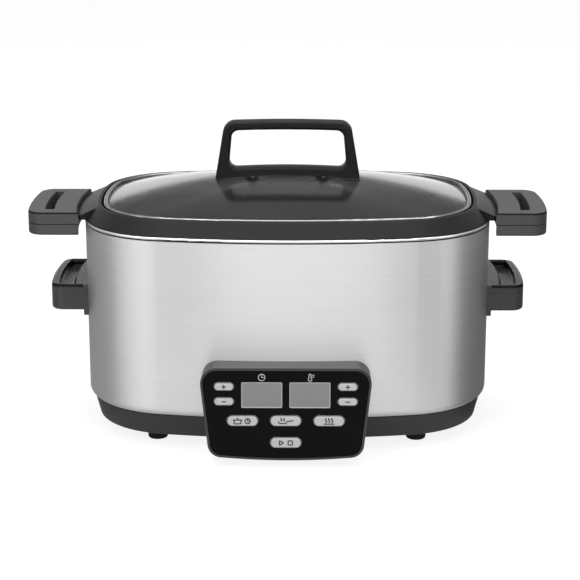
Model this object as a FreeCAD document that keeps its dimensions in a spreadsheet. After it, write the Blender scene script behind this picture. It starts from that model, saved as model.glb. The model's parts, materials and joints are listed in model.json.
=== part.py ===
import FreeCAD, Part
import Sketcher
import math
import os
import re

# Oval multicooker: shell, lift-out pot, glass lid and front console.
# Millimetres, +Z up, front towards -Y. Every plan outline is an offset of one oval.

SIZES = {
    # Master oval, at the shell's outer face: eight tangent arcs.
    "half_width": 182.0,
    "half_depth": 124.0,
    "front_radius": 611.0,
    "end_radius": 314.0,
    "corner_radius": 83.0,
    # Formed steel shell.
    "shell_bottom": 30.0,
    "shell_top": 187.0,
    "shell_wall": 1.0,
    "shell_curl": 7.0,
    "shell_floor_width": 14.0,
    # Base skirt, bottom cover and feet.
    "skirt_bottom": 10.0,
    "skirt_bottom_inset": 9.1,
    "skirt_top_inset": 4.0,
    "skirt_edge": 2.0,
    "cover_inset": 13.0,
    "cover_ledge": 8.0,
    "cover_top": 13.0,
    "cover_thickness": 2.5,
    "cover_clearance": 0.3,
    "vent_length": 46.0,
    "vent_width": 4.0,
    "vent_round": 1.8,
    "vent_pitch": 10.0,
    "vent_x": 62.0,
    "vent_y": 42.0,
    "foot_end_inset": 67.0,
    "foot_side_inset": 42.0,
    "foot_radius": 9.5,
    "foot_tip_radius": 8.6,
    "foot_edge": 1.5,
    "foot_plug_radius": 4.0,
    # Liner tub with its flange over the shell's top edge.
    "gasket_thickness": 1.0,
    "gasket_inset": 0.6,
    "gasket_width": 8.0,
    "bead_overhang": 0.4,
    "bead_height": 2.5,
    "bead_edge": 1.1,
    "tub_inset": 12.0,
    "tub_wall": 1.2,
    "tub_bottom": 58.0,
    "tub_bend": 10.0,
    # Heater plate, element and sensor.
    "heater_inset": 44.0,
    "heater_thickness": 8.0,
    "heater_edge": 1.5,
    "element_inset": 58.0,
    "element_width": 7.6,
    "element_height": 6.6,
    "element_round": 3.0,
    "element_clearance": 0.2,
    "terminal_x": 14.0,
    "terminal_radius": 2.5,
    "terminal_drop": 10.0,
    "terminal_clearance": 1.0,
    "sensor_radius": 9.6,
    "sensor_flange_radius": 12.3,
    "sensor_flange": 2.0,
    "sensor_clearance": 0.6,
    "sensor_stem_radius": 3.0,
    "sensor_stem": 8.0,
    "holder_radius": 16.0,
    "holder_bore": 13.0,
    "holder_height": 22.0,
    "holder_floor": 2.0,
    "spring_radius": 8.0,
    "spring_wire": 0.8,
    "spring_turns": 5.0,
    "fuse_radius": 2.5,
    "fuse_length": 22.0,
    "fuse_y": 34.0,
    # Clearance between pieces that move apart.
    "lift_gap": 0.4,
    # Pot: rim, ledge for the lid, tapered wall and tangs for the grips.
    "rim_outer_inset": 0.3,
    "crest_inset": 11.4,
    "crest_height": 12.6,
    "rim_edge": 1.6,
    "pot_inset": 17.5,
    "pot_draft": 3.0,
    "pot_wall": 3.0,
    "pot_floor": 3.5,
    "pot_bend": 18.0,
    "ledge_inset": 14.6,
    "ledge_depth": 7.1,
    "lug_half_depth": 49.5,
    "lug_corner": 3.0,
    "tang_half_depth": 34.0,
    "tang_reach": 23.0,
    "tang_thickness": 3.6,
    # Pot grips, each in two halves.
    "grip_start": 6.5,
    "grip_reach": 50.5,
    "grip_half_depth": 51.0,
    "grip_corner": 14.0,
    "grip_upper": 10.6,
    "grip_lower": 10.0,
    "grip_edge": 1.8,
    "grip_part_edge": 0.5,
    "grip_part_line": 187.0,
    "grip_slot_start": 27.0,
    "grip_slot_width": 8.5,
    "grip_slot_half": 37.0,
    "grip_slot_floor": 3.0,
    "grip_clearance": 0.3,
    "grip_screw_reach": 17.0,
    "grip_screw_y": 20.0,
    "grip_outer_screw_reach": 42.5,
    "grip_pilot": 6.4,
    # Lid: steel band, glass dome and handle.
    "band_inset": 16.7,
    "band_width": 3.3,
    "band_wall": 1.2,
    "band_lip": 0.8,
    "band_bead": 2.4,
    "band_edge": 1.0,
    "glass_thickness": 4.0,
    "glass_clearance": 0.1,
    "dome_inset": 21.0,
    "dome_rise": 20.6,
    "handle_half_base": 65.3,
    "handle_half_top": 56.6,
    "handle_height": 49.9,
    "handle_thickness": 15.0,
    "handle_top_bar": 8.0,
    "handle_low_bar": 8.5,
    "handle_leg": 12.2,
    "handle_leg_top": 6.7,
    "handle_top_bow": 1.6,
    "handle_sill_bow": 2.4,
    "handle_top_radius": 1200.0,
    "handle_sill_radius": 800.0,
    "handle_corner": 11.0,
    "handle_inner_corner": 7.0,
    "handle_edge": 2.6,
    "handle_gap": 0.3,
    "handle_pilot": 4.9,
    "lid_screw_x": 32.0,
    "lid_screw_hole": 3.2,
    "washer_radius": 6.0,
    "washer_thickness": 1.5,
    "washer_gap": 0.2,
    # Side handles on the shell.
    "side_reach": 32.0,
    "side_half_depth": 48.5,
    "side_bottom": 107.5,
    "side_top": 131.0,
    "side_corner": 11.0,
    "side_edge": 2.5,
    "side_flange": 4.0,
    "side_flange_drop": 4.5,
    "side_dish_start": 10.0,
    "side_dish_end": 25.0,
    "side_dish_half": 44.0,
    "side_dish_depth": 5.5,
    "side_dish_round": 4.5,
    "side_recess_start": 10.0,
    "side_recess_end": 27.0,
    "side_recess_half": 40.0,
    "side_recess_depth": 11.0,
    "side_screw_y": 25.0,
    "side_screw_z": 112.0,
    # Console, in its own leaning frame: y inwards from the face, z up along it.
    "console_reach": 27.2,
    "console_top": 86.2,
    "console_lean": 4.8,
    "console_height": 77.3,
    "console_bow": 5.0,
    "console_bow_radius": 640.0,
    "console_half_top": 74.3,
    "console_half_bottom": 65.6,
    "console_top_corner": 14.0,
    "console_bottom_corner": 12.0,
    "console_depth": 52.0,
    "console_edge": 1.2,
    "bezel_width": 2.0,
    "cavity_wall": 5.5,
    "cavity_depth": 21.0,
    "plate_thickness": 2.4,
    "plate_set_back": 0.3,
    "plate_clearance": 0.2,
    "console_screw_x": 52.0,
    "console_screw_low": 42.0,
    "console_screw_high": 68.0,
    # Displays.
    "display_width": 34.7,
    "display_height": 22.3,
    "display_x": 20.4,
    "display_down": 23.2,
    "display_border": 1.4,
    "display_set_back": 0.5,
    # Buttons: pill caps with a hidden flange, over tact switches.
    "small_width": 17.3,
    "small_height": 7.3,
    "small_x": 52.4,
    "plus_down": 15.7,
    "minus_down": 28.6,
    "large_width": 26.9,
    "large_height": 9.6,
    "mode_x": 36.7,
    "mode_down": 45.4,
    "start_down": 64.4,
    "pill_flat": 0.15,
    "button_proud": 1.6,
    "button_gap": 0.35,
    "button_flange": 1.1,
    "button_flange_width": 1.2,
    "button_edge": 1.3,
    "button_stem_radius": 2.4,
    "button_rest_gap": 0.3,
    "button_travel": 0.8,
    "switch_size": 6.0,
    "switch_height": 3.4,
    "switch_tip_radius": 1.7,
    "switch_tip_height": 0.8,
    # Control board, power board and their parts.
    "board_thickness": 1.6,
    "board_front": 11.0,
    "board_half_width": 60.0,
    "board_margin": 8.0,
    "board_screw_x": 54.0,
    "board_screw_inset": 6.0,
    "boss_radius": 3.6,
    "power_width": 96.0,
    "power_depth": 56.0,
    "power_y": 52.0,
    "power_hole_inset": 5.0,
    "standoff_height": 7.0,
    "transformer_x": -24.0,
    "transformer_width": 34.0,
    "transformer_depth": 28.0,
    "transformer_height": 22.0,
    "coil_width": 20.0,
    "coil_overhang": 5.0,
    "relay_x": 22.0,
    "relay_width": 19.0,
    "relay_depth": 15.0,
    "relay_height": 15.5,
    "relay_edge": 1.0,
    # Cord gland in the back of the skirt.
    "gland_z": 20.0,
    "gland_seat": 10.0,
    "gland_flange_radius": 8.0,
    "gland_flange": 3.2,
    "gland_barrel_radius": 6.4,
    "gland_barrel": 11.0,
    "gland_bore": 3.6,
    "gland_edge": 1.3,
    "gland_clearance": 0.1,
    # Screws.
    "screw_head_radius": 3.4,
    "screw_head": 2.2,
    "screw_radius": 1.6,
    "screw_clearance": 0.1,
    "screw_bite": 8.0,
    "screw_end_gap": 0.8,
    "small_screw_head_radius": 2.6,
    "small_screw_head": 1.6,
    "small_screw_radius": 1.2,
}

doc = FreeCAD.newDocument("multicooker")
sheet = doc.addObject("Spreadsheet::Sheet", "Sizes")
for row, (alias, number) in enumerate(SIZES.items(), start=1):
    sheet.set(f"A{row}", alias)
    sheet.set(f"B{row}", str(number))
    sheet.setAlias(f"B{row}", alias)
doc.recompute()

V = FreeCAD.Vector
UP = V(0, 0, 1)
TOUCH = 1e-4
START, END, CENTRE = 1, 2, 3
ORIGIN, X_AXIS, Y_AXIS = -1, -1, -2
NODES = {}

# Heights and reaches that several pieces share.
BEAD_BOTTOM = "(shell_top + gasket_thickness)"
BEAD_TOP = f"({BEAD_BOTTOM} + bead_height)"
TUB_FLOOR = "(tub_bottom + tub_wall)"
HEATER_TOP = f"({TUB_FLOOR} + heater_thickness)"
POT_BOTTOM = f"({HEATER_TOP} + lift_gap)"
RIM_BOTTOM = f"({BEAD_TOP} + lift_gap)"
CREST = f"({RIM_BOTTOM} + crest_height)"
LEDGE = f"({CREST} - ledge_depth)"
BAND_BOTTOM = f"({LEDGE} + lift_gap)"
GLASS_BOTTOM = f"({BAND_BOTTOM} + band_lip + glass_clearance)"
GLASS_EDGE = f"({GLASS_BOTTOM} + glass_thickness)"
APEX = f"({GLASS_EDGE} + dome_rise)"
TANG_TOP = f"({RIM_BOTTOM} + tang_thickness)"
GRIP_TOP = "(grip_part_line + grip_upper)"
PLATE_BACK = "(plate_set_back + plate_thickness)"
FLANGE_FRONT = f"({PLATE_BACK} + button_rest_gap)"
SWITCH_FRONT = "(board_front - switch_height - switch_tip_height)"
FACE_FRONT = "(half_depth + console_reach)"
COVER_BOTTOM = "(cover_top - cover_thickness)"
FOOT_X = "(half_width - foot_end_inset)"
FOOT_Y = "(half_depth - foot_side_inset)"
SCREW_LENGTH = "(screw_bite - screw_end_gap)"

# The oval's centre lies behind the middle of the whole object, because the console stands out in front.
LOWEST_BUTTON = "(start_down + large_height / 2 - button_edge)"
FRONT_REACH = f"({FACE_FRONT} + {LOWEST_BUTTON} * sin(console_lean) + button_proud * cos(console_lean))"
SHIFT = f"({FRONT_REACH} - half_depth - bead_overhang) / 2"


def formula(text):
    """Put the sheet's name before each size in an expression."""
    return re.sub(r"\b[a-z][a-z_0-9]*\b(?!\()", r"Sizes.\g<0>", str(text))


def value(text):
    """Work an expression out with the sheet's present sizes."""
    result = sheet.evalExpression(formula(text))
    return float(getattr(result, "Value", result))


def bind(item, prop, text):
    item.setExpression(prop, formula(text))


def place(item, x="0", y="0", z="0"):
    """Tie an object's position to the sheet, with the oval's centre at x = y = 0."""
    bind(item, "Placement.Base.x", x)
    bind(item, "Placement.Base.y", f"{y} + {SHIFT}")
    bind(item, "Placement.Base.z", z)


def keep(item, label):
    """Name a finished sub-part."""
    item.Label = label
    NODES[label] = item
    return item


def new_body(label, leaning=False, node=True):
    """Start a sub-part or a tool for one, upright or in the console's leaning frame."""
    body = doc.addObject("PartDesign::Body", label)
    if node:
        keep(body, label)
    if leaning:
        lean(body)
    else:
        place(body)
    return body


def lean(item):
    """Set an object into the console's frame: face at y = 0, top edge at z = 0."""
    item.Placement = FreeCAD.Placement(V(0, 0, 0), FreeCAD.Rotation(V(1, 0, 0), -value("console_lean")))
    place(item, "0", f"-{FACE_FRONT}", "console_top")


def new_sketch(body, level="0", role="XY_Plane"):
    """Sketch on one of the body's own planes, moved along its normal."""
    plane = next(item for item in body.Origin.OriginFeatures if item.Role == role)
    sketch = body.newObject("Sketcher::SketchObject", "Sketch")
    sketch.AttachmentSupport = [(plane, "")]
    sketch.MapMode = "FlatFace"
    bind(sketch, "AttachmentOffset.Base.z", level)
    return sketch


def dimension(sketch, size, kind, *where):
    """Add a constraint whose value is an expression."""
    index = sketch.addConstraint(Sketcher.Constraint(kind, *where, value(size)))
    sketch.setExpression(f"Constraints[{index}]", formula(size))


def fix_point(sketch, geometry, end, x, y):
    """Hold a point at a place given by two expressions."""
    for text, kind, axis in ((x, "DistanceX", Y_AXIS), (y, "DistanceY", X_AXIS)):
        if text == "0":
            sketch.addConstraint(Sketcher.Constraint("PointOnObject", geometry, end, axis))
        else:
            dimension(sketch, text, kind, ORIGIN, START, geometry, end)


def arc(centre, radius, start, end):
    return Part.ArcOfCircle(Part.Circle(centre, UP, radius), start, end)


def add_oval(sketch, inset, scale="1"):
    """Draw the master oval set in by a distance, and then scaled about its centre."""
    wide, deep, front, end, corner = (
        value(f"({name} - ({inset})) * ({scale})")
        for name in ("half_width", "half_depth", "front_radius", "end_radius", "corner_radius")
    )
    front_centre = V(0, front - deep, 0)
    end_centre = V(wide - end, 0, 0)
    along = end_centre - front_centre
    gap = along.Length
    along.normalize()
    to_front, to_end = front - corner, end - corner
    foot = (to_front ** 2 - to_end ** 2 + gap ** 2) / (2 * gap)
    height = math.sqrt(to_front ** 2 - foot ** 2)
    middle = front_centre + along * foot
    side = V(-along.y, along.x, 0) * height
    centre = min((middle + side, middle - side), key=lambda point: point.y)
    first = math.atan2(centre.y - front_centre.y, centre.x)
    second = math.atan2(centre.y, centre.x - end_centre.x)
    x, y, turn = centre.x, centre.y, math.pi
    arcs = [
        arc(front_centre, front, -turn - first, first),
        arc(V(x, y, 0), corner, first, second),
        arc(end_centre, end, second, -second),
        arc(V(x, -y, 0), corner, -second, -first),
        arc(-front_centre, front, -first, turn + first),
        arc(V(-x, -y, 0), corner, turn + first, turn + second),
        arc(-end_centre, end, turn + second, turn - second),
        arc(V(-x, y, 0), corner, turn - second, turn - first),
    ]
    ids = list(sketch.addGeometry(arcs, False))
    rules = [Sketcher.Constraint("Tangent", ids[i], END, ids[(i + 1) % 8], START) for i in range(8)]
    rules += [Sketcher.Constraint("PointOnObject", ids[i], CENTRE, Y_AXIS) for i in (0, 4)]
    rules += [Sketcher.Constraint("PointOnObject", ids[i], CENTRE, X_AXIS) for i in (2, 6)]
    rules += [Sketcher.Constraint("Equal", ids[0], ids[4]), Sketcher.Constraint("Equal", ids[2], ids[6])]
    rules += [Sketcher.Constraint("Equal", ids[1], ids[i]) for i in (3, 5, 7)]
    sketch.addConstraint(rules)
    radii = ((0, "front_radius"), (2, "end_radius"), (1, "corner_radius"))
    for index, name in radii:
        dimension(sketch, f"({name} - ({inset})) * ({scale})", "Radius", ids[index])
    rise = f"(front_radius - half_depth) * ({scale})"
    reach = f"(end_radius - half_width) * ({scale})"
    dimension(sketch, rise, "DistanceY", ORIGIN, START, ids[0], CENTRE)
    dimension(sketch, rise, "DistanceY", ids[4], CENTRE, ORIGIN, START)
    dimension(sketch, reach, "DistanceX", ids[2], CENTRE, ORIGIN, START)
    dimension(sketch, reach, "DistanceX", ORIGIN, START, ids[6], CENTRE)


def ovals(body, level, *insets, scale="1"):
    """Sketch one oval, or two for a ring."""
    sketch = new_sketch(body, level)
    for inset in insets:
        add_oval(sketch, inset, scale)
    return sketch


def add_polygon(sketch, corners):
    """Draw a closed outline through (x, y, radius) corners, listed anticlockwise, with rounded corners."""
    points = [V(value(x), value(y), 0) for x, y, _ in corners]
    count = len(corners)
    ways = []
    for i in range(count):
        way = points[(i + 1) % count] - points[i]
        way.normalize()
        ways.append(way)
    trims, turns = [], []
    for i, (_, _, radius) in enumerate(corners):
        turn = math.atan2(ways[i - 1].x * ways[i].y - ways[i - 1].y * ways[i].x, ways[i - 1].dot(ways[i]))
        turns.append(turn)
        trims.append(value(radius) * math.tan(abs(turn) / 2) if radius else 0.0)
    lines = []
    for i in range(count):
        after = (i + 1) % count
        line = Part.LineSegment(points[i] + ways[i] * trims[i], points[after] - ways[i] * trims[after])
        lines.append(sketch.addGeometry(line, False))
    for i, (x, y, radius) in enumerate(corners):
        before, here = lines[i - 1], lines[i]
        if not radius:
            sketch.addConstraint(Sketcher.Constraint("Coincident", before, END, here, START))
            fix_point(sketch, here, START, x, y)
            continue
        left = 1 if turns[i] > 0 else -1
        size = value(radius)
        touch = points[i] - ways[i - 1] * trims[i]
        leave = points[i] + ways[i] * trims[i]
        centre = touch + V(-ways[i - 1].y, ways[i - 1].x, 0) * size * left
        angles = [math.atan2(p.y - centre.y, p.x - centre.x) for p in (touch, leave)][::left]
        bend = sketch.addGeometry(arc(centre, size, *angles), False)
        corner = sketch.addGeometry(Part.Point(points[i]), True)
        first, last = (START, END)[::left]
        sketch.addConstraint([
            Sketcher.Constraint("Tangent", before, END, bend, first),
            Sketcher.Constraint("Tangent", bend, last, here, START),
            Sketcher.Constraint("PointOnObject", corner, START, before),
            Sketcher.Constraint("PointOnObject", corner, START, here),
        ])
        dimension(sketch, radius, "Radius", bend)
        fix_point(sketch, corner, START, x, y)


def polygon(body, corners, level="0", role="XY_Plane"):
    sketch = new_sketch(body, level, role)
    add_polygon(sketch, corners)
    return sketch


def rectangle(x0, x1, y0, y1, radius=None):
    """Corners of an upright rectangle for add_polygon."""
    return [(x0, y0, radius), (x1, y0, radius), (x1, y1, radius), (x0, y1, radius)]


def circles(body, centres, radius, level="0", role="XY_Plane"):
    sketch = new_sketch(body, level, role)
    for x, y in centres:
        circle = Part.Circle(V(value(x), value(y), 0), UP, value(radius))
        index = sketch.addGeometry(circle, False)
        fix_point(sketch, index, CENTRE, x, y)
        dimension(sketch, radius, "Radius", index)
    return sketch


def sector(body, level, inner, outer, half):
    """Sketch the strip beside the right end of the oval, between two offsets of its end arc."""
    sketch = new_sketch(body, level)
    centre = V(value("half_width - end_radius"), 0, 0)
    reach = value(half)
    radii = [value(f"end_radius + {text}") for text in (inner, outer)]
    swing = [math.asin(reach / radius) for radius in radii]
    arcs = [sketch.addGeometry(arc(centre, r, -a, a), False) for r, a in zip(radii, swing)]
    ends = [[centre + V(r * math.cos(a), r * math.sin(a) * s, 0) for s in (-1, 1)]
            for r, a in zip(radii, swing)]
    lines = [sketch.addGeometry(Part.LineSegment(ends[0][k], ends[1][k]), False) for k in (0, 1)]
    for index, offset in zip(arcs, (inner, outer)):
        sketch.addConstraint(Sketcher.Constraint("PointOnObject", index, CENTRE, X_AXIS))
        dimension(sketch, "end_radius - half_width", "DistanceX", index, CENTRE, ORIGIN, START)
        dimension(sketch, f"end_radius + {offset}", "Radius", index)
    for line, end in zip(lines, (START, END)):
        sketch.addConstraint([
            Sketcher.Constraint("Coincident", line, START, arcs[0], end),
            Sketcher.Constraint("Coincident", line, END, arcs[1], end),
            Sketcher.Constraint("Horizontal", line),
        ])
    dimension(sketch, half, "DistanceY", lines[0], START, ORIGIN, START)
    dimension(sketch, half, "DistanceY", ORIGIN, START, lines[1], START)
    return sketch


def pad(body, sketch, length, flip=False, taper=None):
    """Add material along the sketch's normal, or against it."""
    feature = body.newObject("PartDesign::Pad", "Pad")
    feature.Profile = sketch
    feature.Reversed = flip
    bind(feature, "Length", length)
    if taper:
        bind(feature, "TaperAngle", taper)
    feature.recompute(True)
    return feature


def pocket(body, sketch, length, flip=False, taper=None):
    """Cut against the sketch's normal, or along it, and make sure that something was cut."""
    before = body.Tip.Shape.Volume
    feature = body.newObject("PartDesign::Pocket", "Pocket")
    feature.Profile = sketch
    feature.Reversed = flip
    bind(feature, "Length", length)
    if taper:
        bind(feature, "TaperAngle", taper)
    feature.recompute(True)
    if not feature.Shape.Volume < before - TOUCH:
        raise RuntimeError(f"a pocket of {body.Label} cuts nothing")
    return feature


def revolve(body, corners):
    """Turn a profile of (radius, height) corners about the body's Z axis."""
    sketch = polygon(body, corners, role="XZ_Plane")
    feature = body.newObject("PartDesign::Revolution", "Revolution")
    feature.Profile = sketch
    feature.ReferenceAxis = (sketch, ["V_Axis"])
    feature.Angle = 360
    feature.recompute(True)
    return feature


def fillet(body, radius, pick):
    """Round the edges of the body's last feature that pick chooses."""
    base = body.Tip
    names = [f"Edge{i}" for i, edge in enumerate(base.Shape.Edges, start=1) if pick(edge)]
    if not names:
        raise RuntimeError(f"no edge to round on {body.Label}")
    feature = body.newObject("PartDesign::Fillet", "Fillet")
    feature.Base = (base, names)
    bind(feature, "Radius", radius)
    feature.recompute(True)
    return feature


def at_height(text):
    """Choose edges that lie in a level plane."""
    level = value(text)
    return lambda edge: abs(edge.BoundBox.ZMin - level) < TOUCH and abs(edge.BoundBox.ZMax - level) < TOUCH


def at_depth(text):
    """Choose edges that lie in a plane of constant y."""
    level = value(text)
    return lambda edge: abs(edge.BoundBox.YMin - level) < TOUCH and abs(edge.BoundBox.YMax - level) < TOUCH


def upright_beyond(text):
    """Choose vertical edges at or past an x."""
    limit = value(text)
    return lambda edge: (
        edge.BoundBox.ZLength > 1 and edge.BoundBox.XLength < TOUCH and edge.BoundBox.XMin > limit
    )


def mirrored(source, label):
    """Make the left-hand twin of a right-hand sub-part."""
    twin = keep(doc.addObject("Part::Mirroring", label), label)
    twin.Source = source
    twin.Normal = V(1, 0, 0)
    twin.Base = V(0, 0, 0)
    return twin


def cylinder(radius, height, x="0", y="0", z="0", rotation=FreeCAD.Rotation()):
    item = doc.addObject("Part::Cylinder", "Cylinder")
    bind(item, "Radius", radius)
    bind(item, "Height", height)
    item.Placement = FreeCAD.Placement(V(0, 0, 0), rotation)
    place(item, x, y, z)
    return item


def screw(x, y, z, grip, rotation, head="screw_head", head_radius="screw_head_radius", shank="screw_radius"):
    """One screw: its head's seat at the given point, its shank along the turned Z axis."""
    top = doc.addObject("Part::Cylinder", "Head")
    bind(top, "Radius", head_radius)
    bind(top, "Height", head)
    bind(top, "Placement.Base.z", f"-({head})")
    stem = doc.addObject("Part::Cylinder", "Shank")
    bind(stem, "Radius", shank)
    bind(stem, "Height", grip)
    item = doc.addObject("Part::Fuse", "Screw")
    item.Base = top
    item.Tool = stem
    item.Placement = FreeCAD.Placement(V(0, 0, 0), rotation)
    place(item, x, y, z)
    return item


def hollow(label, solid, cavity):
    """Take a rounded cavity out of a solid, which leaves an even wall round its bends."""
    item = keep(doc.addObject("Part::Cut", label), label)
    item.Base = solid
    item.Tool = cavity
    return item


def group(label, items):
    """Keep identical pieces in one node, as separate solids."""
    bundle = keep(doc.addObject("Part::Compound", label), label)
    bundle.Links = items
    return bundle


ALONG_Z = FreeCAD.Rotation()
ALONG_X = FreeCAD.Rotation(V(0, 1, 0), 90)
AGAINST_X = FreeCAD.Rotation(V(0, 1, 0), -90)
AGAINST_Y = FreeCAD.Rotation(V(1, 0, 0), 90)
SIGNS = ("", "-")
QUARTERS = [(sx, sy) for sx in SIGNS for sy in SIGNS]


def end_face(offset, y):
    """X of an offset of the oval's end arc, at a given y."""
    return f"(half_width - end_radius + sqrt((end_radius + {offset})^2 - ({y})^2))"


def front_face(inset, x):
    """Distance of an offset of the oval's front arc ahead of its centre, at a given x."""
    return f"(sqrt((front_radius - {inset})^2 - ({x})^2) - (front_radius - half_depth))"


# Base: shell, skirt, cover and feet

def outer_shell():
    body = new_body("ShellBlank", node=False)
    pad(body, ovals(body, "shell_bottom", "0"), "shell_top - shell_bottom")
    fillet(body, "shell_curl", at_height("shell_bottom"))
    pocket(body, ovals(body, "shell_bottom + shell_curl", "shell_floor_width"), "2 * shell_curl")
    side_holes = [(f"{s}side_screw_y", "side_screw_z") for s in SIGNS]
    hole = "screw_radius + screw_clearance"
    pocket(body, circles(body, side_holes, hole, "2 * half_width", "YZ_Plane"), "4 * half_width")
    rows = ("console_screw_low", "console_screw_high")
    front_holes = [(f"{s}console_screw_x", z) for s in SIGNS for z in rows]
    pocket(body, circles(body, front_holes, hole, "2 * half_depth", "XZ_Plane"), "2 * half_depth")
    cavity = new_body("ShellCavity", node=False)
    pad(cavity, ovals(cavity, "shell_bottom + shell_wall", "shell_wall"), "shell_top")
    fillet(cavity, "shell_curl - shell_wall", at_height("shell_bottom + shell_wall"))
    hollow("outer_shell", body, cavity)


def base_skirt():
    body = new_body("base_skirt")
    flare = "atan((skirt_bottom_inset - skirt_top_inset) / (shell_bottom - skirt_bottom))"
    pad(body, ovals(body, "skirt_bottom", "skirt_bottom_inset"), "shell_bottom - skirt_bottom", taper=flare)
    fillet(body, "skirt_edge", at_height("skirt_bottom"))
    pocket(body, ovals(body, "skirt_bottom", "cover_inset"), "cover_top - skirt_bottom", flip=True)
    pocket(body, ovals(body, "skirt_bottom", "cover_inset + cover_ledge"), "shell_bottom", flip=True)
    seat = "-2 * half_depth"
    centre = [("0", "gland_z")]
    face = circles(body, centre, "gland_flange_radius + cover_clearance", seat, "XZ_Plane")
    pocket(body, face, "half_depth + gland_seat", flip=True)
    bore = circles(body, centre, "gland_barrel_radius + gland_clearance", seat, "XZ_Plane")
    pocket(body, bore, "2 * half_depth", flip=True)
    pocket(body, circles(body, cover_screw_places(), "screw_radius + screw_clearance", "cover_top"),
           "screw_bite", flip=True)


def cover_screw_places():
    """Six points on the middle of the skirt's ledge."""
    inset = "(cover_inset + cover_ledge / 2)"
    ends = [(f"{s}(half_width - {inset})", "0") for s in SIGNS]
    x = f"({FOOT_X} / 2)"
    sides = [(f"{sx}{x}", f"{sy}{front_face(inset, x)}") for sx, sy in QUARTERS]
    return ends + sides


def board_places():
    """Corners of the power board's hole pattern."""
    x = "(power_width / 2 - power_hole_inset)"
    y = "(power_depth / 2 - power_hole_inset)"
    return [(f"{sx}{x}", f"power_y {sy or '+'} {y}") for sx, sy in QUARTERS]


def bottom_cover():
    body = new_body("bottom_cover")
    pad(body, ovals(body, COVER_BOTTOM, "cover_inset + cover_clearance"), "cover_thickness")
    pad(body, circles(body, board_places(), "boss_radius", "cover_top"), "standoff_height")
    plugs = [(f"{sx}{FOOT_X}", f"{sy}{FOOT_Y}") for sx, sy in QUARTERS]
    holes = circles(body, plugs, "foot_plug_radius + gland_clearance", "cover_top")
    pocket(body, holes, "2 * cover_thickness")
    holes = circles(body, cover_screw_places(), "screw_radius + screw_clearance", "cover_top")
    pocket(body, holes, "2 * cover_thickness")
    bore = "small_screw_radius + screw_clearance"
    pilot = circles(body, board_places(), bore, "cover_top + standoff_height")
    pocket(body, pilot, "standoff_height")
    for sx in SIGNS:
        for step in range(-2, 3):
            middle = f"-vent_y + {step} * vent_pitch"
            x = f"{sx}vent_x"
            vent = rectangle(
                f"{x} - vent_length / 2", f"{x} + vent_length / 2",
                f"{middle} - vent_width / 2", f"{middle} + vent_width / 2", "vent_round")
            pocket(body, polygon(body, vent, "cover_top"), "2 * cover_thickness")
    length = f"cover_thickness + {SCREW_LENGTH}"
    screws = [screw(x, y, COVER_BOTTOM, length, ALONG_Z) for x, y in cover_screw_places()]
    group("cover_screws", screws)


def foot(label, sx, sy):
    """Push-in rubber foot with a plug through the cover."""
    body = new_body(label)
    place(body, f"{sx}{FOOT_X}", f"{sy}{FOOT_Y}")
    revolve(body, [
        ("0", "0", None), ("foot_tip_radius", "0", "foot_edge"), ("foot_radius", COVER_BOTTOM, None),
        ("foot_plug_radius", COVER_BOTTOM, None), ("foot_plug_radius", "cover_top", None),
        ("0", "cover_top", None)])


# Liner, heater and sensor

def terminal_places():
    """Where the element's two ends pass down through the tub's floor."""
    ring = "(element_inset + element_width / 2)"
    return [(f"{s}terminal_x", f"-{front_face(ring, 'terminal_x')}") for s in SIGNS]


def inner_liner():
    body = new_body("LinerBlank", node=False)
    pad(body, ovals(body, BEAD_BOTTOM, "-bead_overhang"), "bead_height")
    fillet(body, "bead_edge", lambda edge: at_height(BEAD_BOTTOM)(edge) or at_height(BEAD_TOP)(edge))
    pad(body, ovals(body, BEAD_BOTTOM, "tub_inset"), f"{BEAD_BOTTOM} - tub_bottom", flip=True)
    fillet(body, "tub_bend", at_height("tub_bottom"))
    pocket(body, circles(body, [("0", "0")], "sensor_radius + sensor_clearance", TUB_FLOOR), "2 * tub_wall")
    holes = circles(body, terminal_places(), "terminal_radius + terminal_clearance", TUB_FLOOR)
    pocket(body, holes, "2 * tub_wall")
    cavity = new_body("LinerCavity", node=False)
    pad(cavity, ovals(cavity, TUB_FLOOR, "tub_inset + tub_wall"), BEAD_TOP)
    fillet(cavity, "tub_bend - tub_wall", at_height(TUB_FLOOR))
    hollow("inner_liner", body, cavity)


def rim_gasket():
    body = new_body("rim_gasket")
    pad(body, ovals(body, "shell_top", "gasket_inset", "gasket_inset + gasket_width"), "gasket_thickness")


def heater_plate():
    body = new_body("heater_plate")
    pad(body, ovals(body, TUB_FLOOR, "heater_inset"), "heater_thickness")
    fillet(body, "heater_edge", at_height(HEATER_TOP))
    inner = "element_inset + element_width + element_clearance"
    groove = ovals(body, TUB_FLOOR, "element_inset - element_clearance", inner)
    pocket(body, groove, "element_height + 2 * element_clearance", flip=True)
    hole = circles(body, [("0", "0")], "sensor_radius + sensor_clearance", TUB_FLOOR)
    pocket(body, hole, "2 * heater_thickness", flip=True)


def heating_element():
    body = new_body("heating_element")
    base = f"{TUB_FLOOR} + element_clearance"
    top = f"{base} + element_height"
    pad(body, ovals(body, base, "element_inset", "element_inset + element_width"), "element_height")
    fillet(body, "element_round", lambda edge: at_height(base)(edge) or at_height(top)(edge))
    tails = circles(body, terminal_places(), "terminal_radius", f"{base} + element_height / 2")
    pad(body, tails, "element_height / 2 + element_clearance + tub_wall + terminal_drop", flip=True)


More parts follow.
